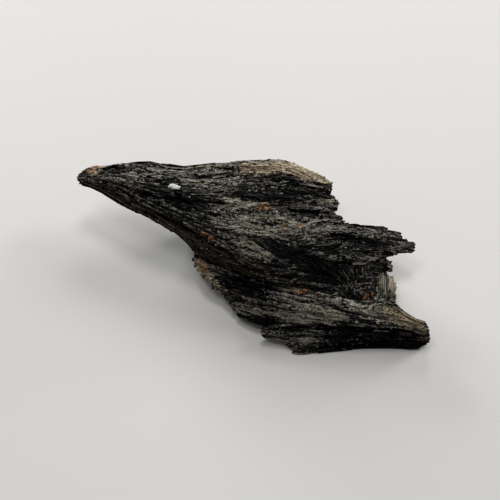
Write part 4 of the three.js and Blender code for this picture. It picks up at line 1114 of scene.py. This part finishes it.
def end_blades(bag, slab, rng, count, right=True, length=(4, 12), width=(0.8, 1.7), depth=(0.6, 1.3), out=(-1.9, 0.15), t_range=None, corners=5):
    """Blades running through the thickness of a slab, whose broken ends show at its ragged edge. They break off in
    bunches: neighbours end together."""
    lo, hi = t_range or (0, slab.last)
    t = rng.uniform(lo, hi, count)
    a, b = slab.strip_ends(t)
    v = rng.uniform(0.02, 0.98, count)
    lg = rng.uniform(*length, count)
    depth_mm = v * 9
    bunch = noise(np.stack([t * 3.3, depth_mm * 0.75, 0 * t], -1), 1.0, 31)
    bunch = np.floor(np.clip(bunch * 1.3 - 0.15, 0, 0.999) * 5) / 4
    reach = lerp(out[1], out[0], bunch) + rng.uniform(-0.22, 0.22, count)
    tip = np.where(right, b + reach, a - reach)
    root = np.where(right, tip - lg, tip + lg)
    s = np.linspace(0, 1, 3)
    xx = lerp(root[:, None], tip[:, None], s) if right else lerp(tip[:, None], root[:, None], s)
    tt = np.broadcast_to(t[:, None], xx.shape)
    top, nn, _, mm = slab.top(xx, tt)
    low = slab.under(xx, tt)
    thick = np.maximum((top - low)[..., 2], 0.1)
    vv = np.clip(v[:, None], 0.35 / thick, 1 - 0.35 / thick)
    path = lerp(top, low, vv[..., None])
    path[..., 0] -= (0.3 if right else -0.22) * vv * thick  # the break leans back as it goes down
    w = rng.uniform(*width, count) * np.clip(mm.mean(1) / 3.2, 0.4, 1)
    prisms(bag, rng, path, nn, w, rng.uniform(*depth, count), SLAB_KEY[slab.name], corners, 30.0, 0.75, 0.7)


def wall_blades(bag, slab, rng, count, where, length=(5, 18), width=(0.6, 1.4), depth=(0.4, 0.9), lift=(-0.3, 0.35), corners=5):
    """Blades on the long walls (front, back) and on the underside of a slab."""
    x = rng.uniform(*slab.span, count * 3)
    t = {"front": np.full_like(x, slab.last), "back": np.zeros_like(x), "under": rng.uniform(0, slab.last, len(x))}[where]
    a, b = slab.strip_ends(t)
    ok = (x > a + 1) & (x < b - 1)
    if where == "under":
        ok &= rng.uniform(0, 1, len(x)) < np.clip(slab.top(x, t)[3] / 5.0, 0.15, 1)
    x, t, a, b = (q[ok][:count] for q in (x, t, a, b))
    n = len(x)
    lg = np.exp(rng.uniform(math.log(length[0]), math.log(length[1]), n))
    xs = np.maximum(x - lg / 2, a + rng.uniform(-0.2, 1, n))
    xe = np.maximum(np.minimum(x + lg / 2, b - rng.uniform(-0.1, 1, n)), xs + 1)
    s = np.linspace(0, 1, 4)
    xx = xs[:, None] + (xe - xs)[:, None] * s
    tt = np.broadcast_to(t[:, None], xx.shape)
    v = np.ones((n, 1)) if where == "under" else rng.uniform(0.03, 0.97, (n, 1))
    top, nn, dx, mm = slab.top(xx, tt)
    low = slab.under(xx, tt)
    path = lerp(top, low, v[..., None])
    if where == "under":
        ta, tb = np.clip(tt - 0.2, 0, slab.last), np.clip(tt + 0.2, 0, slab.last)
        out = -unit(-np.cross(np.gradient(low, axis=1), slab.under(xx, tb) - slab.under(xx, ta)))
        out = np.where(out[..., 2:] > 0, -out, out)
        k = slab.taper(xx)
        rise = k * (slab.under_ledges(xx, tt) + 0.5 * slab.under_bundles(xx, tt))
    else:
        drop = low - top
        out = unit(np.cross(drop, np.gradient(path, axis=1)))
        want = -1.0 if where == "front" else 1.0
        out = np.where((out[..., 1:2] * want) < 0, -out, out)
        rise = slab.taper(xx) * slab.wall_ledges(xx, path[..., 2] + (1.3 if where == "front" else 2.6))
    rise = lerp(rise, rise.mean(1, keepdims=True), 0.6)
    path = path + out * (rise + rng.uniform(*lift, (n, 1)))[..., None]
    w = rng.uniform(*width, n) * np.clip(mm.mean(1) / 3.2, 0.5, 1)
    prisms(bag, rng, path, out, w, rng.uniform(*depth, n), SLAB_KEY[slab.name], corners, 20.0, 0.7)


def on_top(slab, rng, count, weight, t_range=None):
    """Random points on the relief of the upper face, thinned by weight(point)."""
    lo, hi = t_range or (0, slab.last)
    many = count * 30
    t = rng.uniform(lo, hi, many)
    x = rng.uniform(*slab.span, many)
    a, b = slab.strip_ends(t)
    ok = (x > a + 0.3) & (x < b - 0.3)
    t, x = t[ok], x[ok]
    p, n, _, mm = slab.top(x, t)
    keep = rng.uniform(0, 1, len(t)) < np.clip(mm / 5.0, 0.1, 1) * weight(p)
    t, x, p, n, mm = (q[keep][:count] for q in (t, x, p, n, mm))
    k = slab.taper(x)
    rise = slab.coarse(x, t, mm) + k * (0.4 * slab.bundles(x, t) + slab.blades(x, t))
    return p + n * rise[:, None], n, x, t


# the grown masses
skin = Bag()
core(skin, UPPER, 250, 160, 9, 1.3)
core_upper = skin.build("upper_mass", KYANITE)
skin = Bag()
core(skin, LOWER, 170, 72, 8, 1.2)
core(skin, BAR, 150, 30, 6, 0.9)
core_lower = skin.build("lower_mass", KYANITE)

# blades on the fan's upper face
rng = np.random.default_rng(1)
bag = Bag()
surface_blades(bag, UPPER, rng, 900, (6, 20), (0.8, 1.6), (0.7, 1.4), (-0.45, 0.3), t_range=(0, 7.1), stations=4, roll=26)
surface_blades(bag, UPPER, rng, 2300, (1.6, 6.5), (0.6, 1.4), (0.6, 1.3), (-0.35, 0.45), t_range=(0, 7.1), stations=3, roll=32, drift=0.16)
surface_blades(bag, UPPER, rng, 900, (3, 12), (0.4, 0.9), (0.4, 0.8), (-0.3, 0.3), t_range=(6.9, 9), x_range=(5, 40), stations=3, roll=26, drift=0.2)
top_blades = bag.build("upper_blades", KYANITE)

# the fine fibres of the steep flank and of the hollow by the right edge
bag = Bag()
surface_blades(bag, UPPER, rng, 1500, (8, 34), (0.35, 0.8), (0.25, 0.5), (-0.12, 0.16), t_range=(6.9, 9), x_range=(UPPER.span[0], 7), stations=5, roll=14, drift=0.04, pitch=0.05)
wall_blades(bag, UPPER, rng, 500, "front", length=(8, 24), width=(0.4, 0.9), depth=(0.3, 0.6), lift=(-0.2, 0.2))
flank_blades = bag.build("flank_fibres", FLANK)

# ragged ends
bag = Bag()
end_blades(bag, UPPER, rng, 1000, True, t_range=(0, 7.3))
end_blades(bag, UPPER, rng, 140, False, length=(3, 9), width=(0.5, 1.0), depth=(0.5, 0.9), out=(-0.8, 0.1))
end_blades(bag, LOWER, rng, 460, False, length=(4, 11), out=(-1.7, 0.2))
end_blades(bag, LOWER, rng, 160, True, length=(4, 9), out=(-1.2, 0.1))
end_blades(bag, BAR, rng, 100, True, length=(4, 8), out=(-1.0, 0.1))
end_blades(bag, BAR, rng, 120, False, length=(4, 9), out=(-1.8, 0.2))
wall_blades(bag, UPPER, rng, 520, "back", width=(0.8, 1.6), depth=(0.6, 1.2))
wall_blades(bag, LOWER, rng, 260, "front", length=(3, 10), width=(0.8, 1.5), depth=(0.6, 1.2))
wall_blades(bag, BAR, rng, 140, "front", length=(4, 14), width=(0.5, 1.1), depth=(0.4, 0.9))
edge_blades = bag.build("edge_blades", KYANITE)

# the lower slab and the front row
bag = Bag()
surface_blades(bag, LOWER, rng, 520, (6, 22), (0.8, 1.5), (0.7, 1.3), (-0.4, 0.35), stations=4, roll=26)
surface_blades(bag, LOWER, rng, 1200, (1.6, 7), (0.6, 1.3), (0.6, 1.2), (-0.3, 0.45), stations=3, roll=30, drift=0.14)
surface_blades(bag, BAR, rng, 220, (8, 34), (0.5, 1.0), (0.4, 0.8), (-0.2, 0.25), stations=5, drift=0.05, pitch=0.1)
surface_blades(bag, BAR, rng, 220, (2, 8), (0.5, 1.0), (0.5, 0.9), (-0.2, 0.35), stations=3)
lower_blades = bag.build("lower_blades", KYANITE)

# underside
bag = Bag()
wall_blades(bag, UPPER, rng, 1100, "under", length=(6, 26), width=(0.7, 1.6), depth=(0.5, 1.1))
wall_blades(bag, LOWER, rng, 380, "under", length=(5, 20), width=(0.7, 1.6), depth=(0.5, 1.1))
wall_blades(bag, BAR, rng, 90, "under", length=(5, 20))
under_blades = bag.build("under_blades", KYANITE)

# crumbs of crust, and mica plates
bag = Bag()
for slab, count in ((UPPER, 5200), (LOWER, 2600), (BAR, 320)):
    key = SLAB_KEY[slab.name]
    for kinds, share, size, round_ in (
        (("cream",), 0.35, (0.4, 1.0), True),
        (("grit", "olive"), 1.0, (0.35, 0.85), False),
        (("tan", "rust", "pink", "pale"), 0.35, (0.35, 0.85), True),
    ):
        m = int(count * share)
        at, nn, _, _ = on_top(slab, rng, m, lambda p: 0.9 * patch(p, kinds, key) ** 1.3)
        if len(at):
            sz = rng.uniform(*size, len(at))
            at = at + nn * (rng.uniform(-0.1, 0.35, len(at)) * sz + 0.1)[:, None]
            grains(bag, rng, at, sz, key, round_)
crumbs = bag.build("crust_grains", CRUMBS)

bag = Bag()
for slab, count in ((UPPER, 3000), (LOWER, 1500), (BAR, 240)):
    key = SLAB_KEY[slab.name]
    at, nn, _, _ = on_top(slab, rng, count, lambda p: 0.1 + 0.9 * np.maximum(patch(p, ("grit", "olive"), key), 0.3 * patch(p, ("cream", "tan"), key)), t_range=(0, 7.0) if slab is UPPER else None)
    sz = np.exp(rng.uniform(math.log(0.35), math.log(1.1), len(at)))
    flakes(bag, rng, at + nn * rng.uniform(0.1, 0.4, (len(at), 1)), nn, sz, rng.uniform(0.05, 0.14, len(at)), key, 5, 0.6)
mica = bag.build("mica_flakes", MICA)


def lay(slab, x, y, lift):
    """Height of the slab's upper face under points (x, y), plus lift."""
    t = np.linspace(0, slab.last, 240)
    out = np.empty(np.shape(x))
    flat_x, flat_y, flat = np.ravel(x), np.ravel(y), out.reshape(-1)
    for i, (px, py) in enumerate(zip(flat_x, flat_y)):
        yy, zz = slab.face(np.full_like(t, px), t)
        j = np.argmin(np.abs(yy - py))
        flat[i] = zz[j]
    return flat.reshape(np.shape(x)) + lift


# long straight blades that sweep from the crest down into the hollow, and needles that splay out at its right end
bag = Bag()
rng = np.random.default_rng(9)
n = 460
f = rng.uniform(0, 1, n)
root = np.stack([lerp(-2.0, 19.0, f), lerp(0.6, -2.6, f) - rng.uniform(0.0, 1.0, n) * lerp(5.5, 7.0, f)], -1)
ang = np.radians(lerp(-27.0, -36.0, f) + rng.normal(0, 3.5, n))
lg = rng.uniform(5.0, 15.0, n)
s = np.linspace(0, 1, 5)
xy = root[:, None] + (np.stack([np.cos(ang), np.sin(ang)], -1) * lg[:, None])[:, None] * s[None, :, None]
floor_y = np.interp(xy[..., 0], [0, 9.4, 15.6, 24.9, 29.4], [-4.2, -8.6, -10.6, -13.6, -15.6])
xy[..., 1] = np.maximum(xy[..., 1], floor_y)
z = lay(UPPER, xy[..., 0], xy[..., 1], 0.0) + rng.uniform(-0.25, 0.55, (n, 1))
z = lerp(z, z[:, :1] + (z[:, -1:] - z[:, :1]) * s, 0.5)
path = np.concatenate([xy, z[..., None]], -1)
prisms(bag, rng, path, np.broadcast_to(np.array([0.0, -0.25, 1.0]), path.shape), rng.uniform(0.3, 0.8, n), rng.uniform(0.4, 0.9, n), "U", 4, 30.0, 0.5, 0.8, tone=rng.uniform(0, 1, n) ** 2 * 0.75)
n = 210
f = rng.uniform(0, 1, n)
root = np.stack([lerp(20.5, 38.0, f), lerp(-8.2, -7.6, f) + rng.uniform(-1.6, 0.4, n)], -1)
ang = np.radians(lerp(-22.0, -88.0, f**0.85) + rng.normal(0, 9, n))
lg = rng.uniform(3.5, 10.5, n) * lerp(1.15, 0.8, f)
s = np.linspace(0, 1, 4)
xy = root[:, None] + (np.stack([np.cos(ang), np.sin(ang)], -1) * lg[:, None])[:, None] * s[None, :, None]
xy[..., 1] = np.maximum(xy[..., 1], -17.8)
z = lay(UPPER, xy[..., 0], xy[..., 1], 0.25) + rng.uniform(-0.1, 0.9, (n, 1)) + (rng.uniform(-0.2, 0.9, (n, 1)) * (s - 0.2))
path = np.concatenate([xy, z[..., None]], -1)
prisms(bag, rng, path, np.broadcast_to(np.array([0.0, -0.25, 1.0]), path.shape), rng.uniform(0.28, 0.6, n), rng.uniform(0.3, 0.7, n), "U", 4, 30.0, 0.4, 0.8, tone=rng.uniform(0, 1, n) ** 2 * 0.8)
needles = bag.build("hollow_needles", KYANITE)

# the glassy cluster that lies across the fibres at the right edge
bag = Bag()
rng = np.random.default_rng(10)
n = 120
f = np.sort(rng.uniform(0, 1, n))
x = lerp(38.9, 44.6, f)
y0 = lerp(-7.6, -9.8, f**2.2) + rng.uniform(-1.2, 0.3, n)
lg = rng.uniform(1.6, 6.0, n)
y0 = np.where(rng.uniform(0, 1, n) < 0.45, y0 - rng.uniform(0.5, 4.0, n), y0)
y1 = np.maximum(y0 - lg, lerp(-16.0, -14.6, f))
top_z = 11.2 - 3.0 * (f - 0.3) ** 2 * 2.2
z0 = top_z - rng.uniform(0, 1, n) ** 1.3 * 2.6 - 0.33 * (lerp(-7.6, -9.8, f**2.2) - y0)
s = np.linspace(0, 1, 4)
yy = lerp(y0[:, None], y1[:, None], s)
xx = x[:, None] + rng.normal(0, 0.3, (n, 1)) * (s - 0.5)
zz = z0[:, None] - 0.33 * (y0[:, None] - yy)
path = np.stack([xx, yy, zz], -1)
xx = xx + rng.normal(0, 0.5, (n, 1)) * (s - 0.5)
shine = np.where(f < 0.12, 0.9, 0.2 + 0.35 * f) + rng.normal(0, 0.22, n)
prisms(bag, rng, path, np.broadcast_to(np.array([0.15, -0.2, 1.0]), path.shape), rng.uniform(0.25, 0.7, n), rng.uniform(0.5, 1.3, n), "U", 6, 24.0, 0.6, 0.7, tone=np.clip(shine, 0, 1))
glassy = bag.build("glassy_cluster", GLASSY)
bag = Bag()
m = 760
f = rng.uniform(0, 1, m) ** 0.55
at = np.stack([lerp(39.2, 45.4, f), lerp(-8.2, -15.8, rng.uniform(0, 1, m)), lerp(10.6, 7.4, f) + rng.uniform(-1.0, 0.9, m)], -1)
edge_y = -7.6 - 2.8 * np.clip(f, 0, 1) ** 3
at[:, 1] = np.minimum(at[:, 1], edge_y - rng.uniform(0, 1, m))
at[:, 2] -= 0.3 * (-8.2 - at[:, 1])
flakes(bag, rng, at, np.broadcast_to(np.array([0.2, -0.3, 1.0]), at.shape), rng.uniform(0.35, 0.9, m), rng.uniform(0.08, 0.3, m), "U", 5, 0.9, tone=np.clip(rng.normal(0.4, 0.25, m), 0, 1))
grains(bag, rng, at[::2] + rng.normal(0, 0.2, at[::2].shape), rng.uniform(0.35, 0.8, len(at[::2])), "U", True, tone=np.clip(rng.normal(0.5, 0.25, len(at[::2])), 0, 1))
rim = bag.build("glassy_crumbs", GLASSY)

# a loose white flake caught on the fan
bag = Bag()
rng = np.random.default_rng(12)
centre = np.array([-23.5, 14.6])
k = 15
ang = np.linspace(0, 2 * np.pi, k, endpoint=False)
rad = rng.uniform(0.72, 1.12, k)
rimx, rimy = centre[0] + np.cos(ang) * rad * 2.0, centre[1] + np.sin(ang) * rad * 1.15 - np.cos(ang) * 0.35
zc = lay(UPPER, np.array([centre[0]]), np.array([centre[1]]), 0.95)[0]
rows = []
for scale, dz in ((0.8, -0.5), (1.0, -0.1), (0.96, 0.25), (0.6, 0.5)):
    rows.append(np.stack([centre[0] + (rimx - centre[0]) * scale, centre[1] + (rimy - centre[1]) * scale, zc + dz + rng.uniform(-0.12, 0.12, k) - 0.1 * (rimx - centre[0])], -1))
pts = np.concatenate([*rows, [[*centre, zc + 0.55]], [[*centre, zc - 0.6]]])
ids = np.arange(4 * k).reshape(4, k)
nxt = np.roll(ids, -1, 1)
quads = np.stack([ids[:-1], nxt[:-1], nxt[1:], ids[1:]], -1).reshape(-1, 4)
lid = np.stack([ids[3], nxt[3], np.full(k, 4 * k)], -1)
base = np.stack([nxt[0], ids[0], np.full(k, 4 * k + 1)], -1)
bag.add(pts, [quads, lid, base], pts, 1.0, "U")
at = np.stack([rng.normal(centre[0], 0.7, 8), rng.normal(centre[1], 0.35, 8), zc + rng.uniform(0.1, 0.4, 8)], -1)
grains(bag, rng, at, rng.uniform(0.4, 0.8, 8), "U", True, tone=np.ones(8))
white = bag.build("white_flake", WHITE)

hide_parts("kyanite_fan")

# ---------------------------------------------------------------- floor, light, camera

fm = Nodes("pale_table")
b = fm.new("ShaderNodeBsdfPrincipled")
tex = fm.new("ShaderNodeTexCoord").outputs["Object"]
k = fm.noise(tex, 9.0, 2.0, 0.5)
fm.link(fm.mix(k, rgb(0.765, 0.755, 0.732), rgb(0.8, 0.79, 0.77)), b.inputs["Base Color"])
set_in(b, "Roughness", 0.55)
o = fm.new("ShaderNodeOutputMaterial")
fm.link(b.outputs[0], o.inputs[0])
me = bpy.data.meshes.new("floor")
half = 2.5
me.from_pydata([(-half, -half, 0), (half, -half, 0), (half, half, 0), (-half, half, 0)], [], [(0, 1, 2, 3)])
me.materials.append(fm.mat)
floor = bpy.data.objects.new("floor", me)
bpy.context.scene.collection.objects.link(floor)

sky = bpy.data.worlds.new("studio")
bpy.context.scene.world = sky
sky.use_nodes = True
sky.node_tree.nodes["Background"].inputs[0].default_value = (1.0, 0.995, 0.98, 1)
sky.node_tree.nodes["Background"].inputs[1].default_value = 0.13


def lamp(name, at, size, power, colour=(1, 1, 1), target=(0, 0, 0.008)):
    data = bpy.data.lights.new(name, "AREA")
    data.shape = "RECTANGLE"
    data.size, data.size_y = size
    data.energy = power
    data.color = colour
    o = bpy.data.objects.new(name, data)
    o.location = at
    o.rotation_euler = (Vector(target) - Vector(at)).to_track_quat("-Z", "Y").to_euler()
    bpy.context.scene.collection.objects.link(o)


lamp("overhead", (0.02, 0.29, 0.967), (0.24, 0.24), 1.9, (1.0, 0.995, 0.985))
lamp("left", (-0.242, 0.000, 0.980), (0.28, 0.28), 1.3, (1.0, 0.995, 0.985))
lamp("back", (0.071, 0.806, 0.598), (0.3, 0.3), 1.5, (1.0, 0.995, 0.985))
lamp("side", (0.718, 0.415, 0.569), (0.3, 0.3), 2.4, (1.0, 0.99, 0.975))
lamp("side_low", (0.847, 0.489, 0.218), (0.3, 0.3), 3.2, (1.0, 0.99, 0.975))
lamp("window", (-0.547, 0.811, 0.218), (0.32, 0.32), 8.2, (0.99, 0.995, 1.0))

cam_data = bpy.data.cameras.new("camera")
cam_data.sensor_width = 36
cam_data.lens = 103.032
cam_data.clip_start = 0.01
cam = bpy.data.objects.new("camera", cam_data)
cam.location = world((0.0, -225.0, 399.7114317))
target = Vector(world((0.0, 0.0, 10.0)))
cam.rotation_euler = (target - cam.location).to_track_quat("-Z", "Y").to_euler()
bpy.context.scene.collection.objects.link(cam)
bpy.context.scene.camera = cam
bpy.context.scene.view_settings.view_transform = "Standard"
bpy.context.scene.view_settings.look = "None"
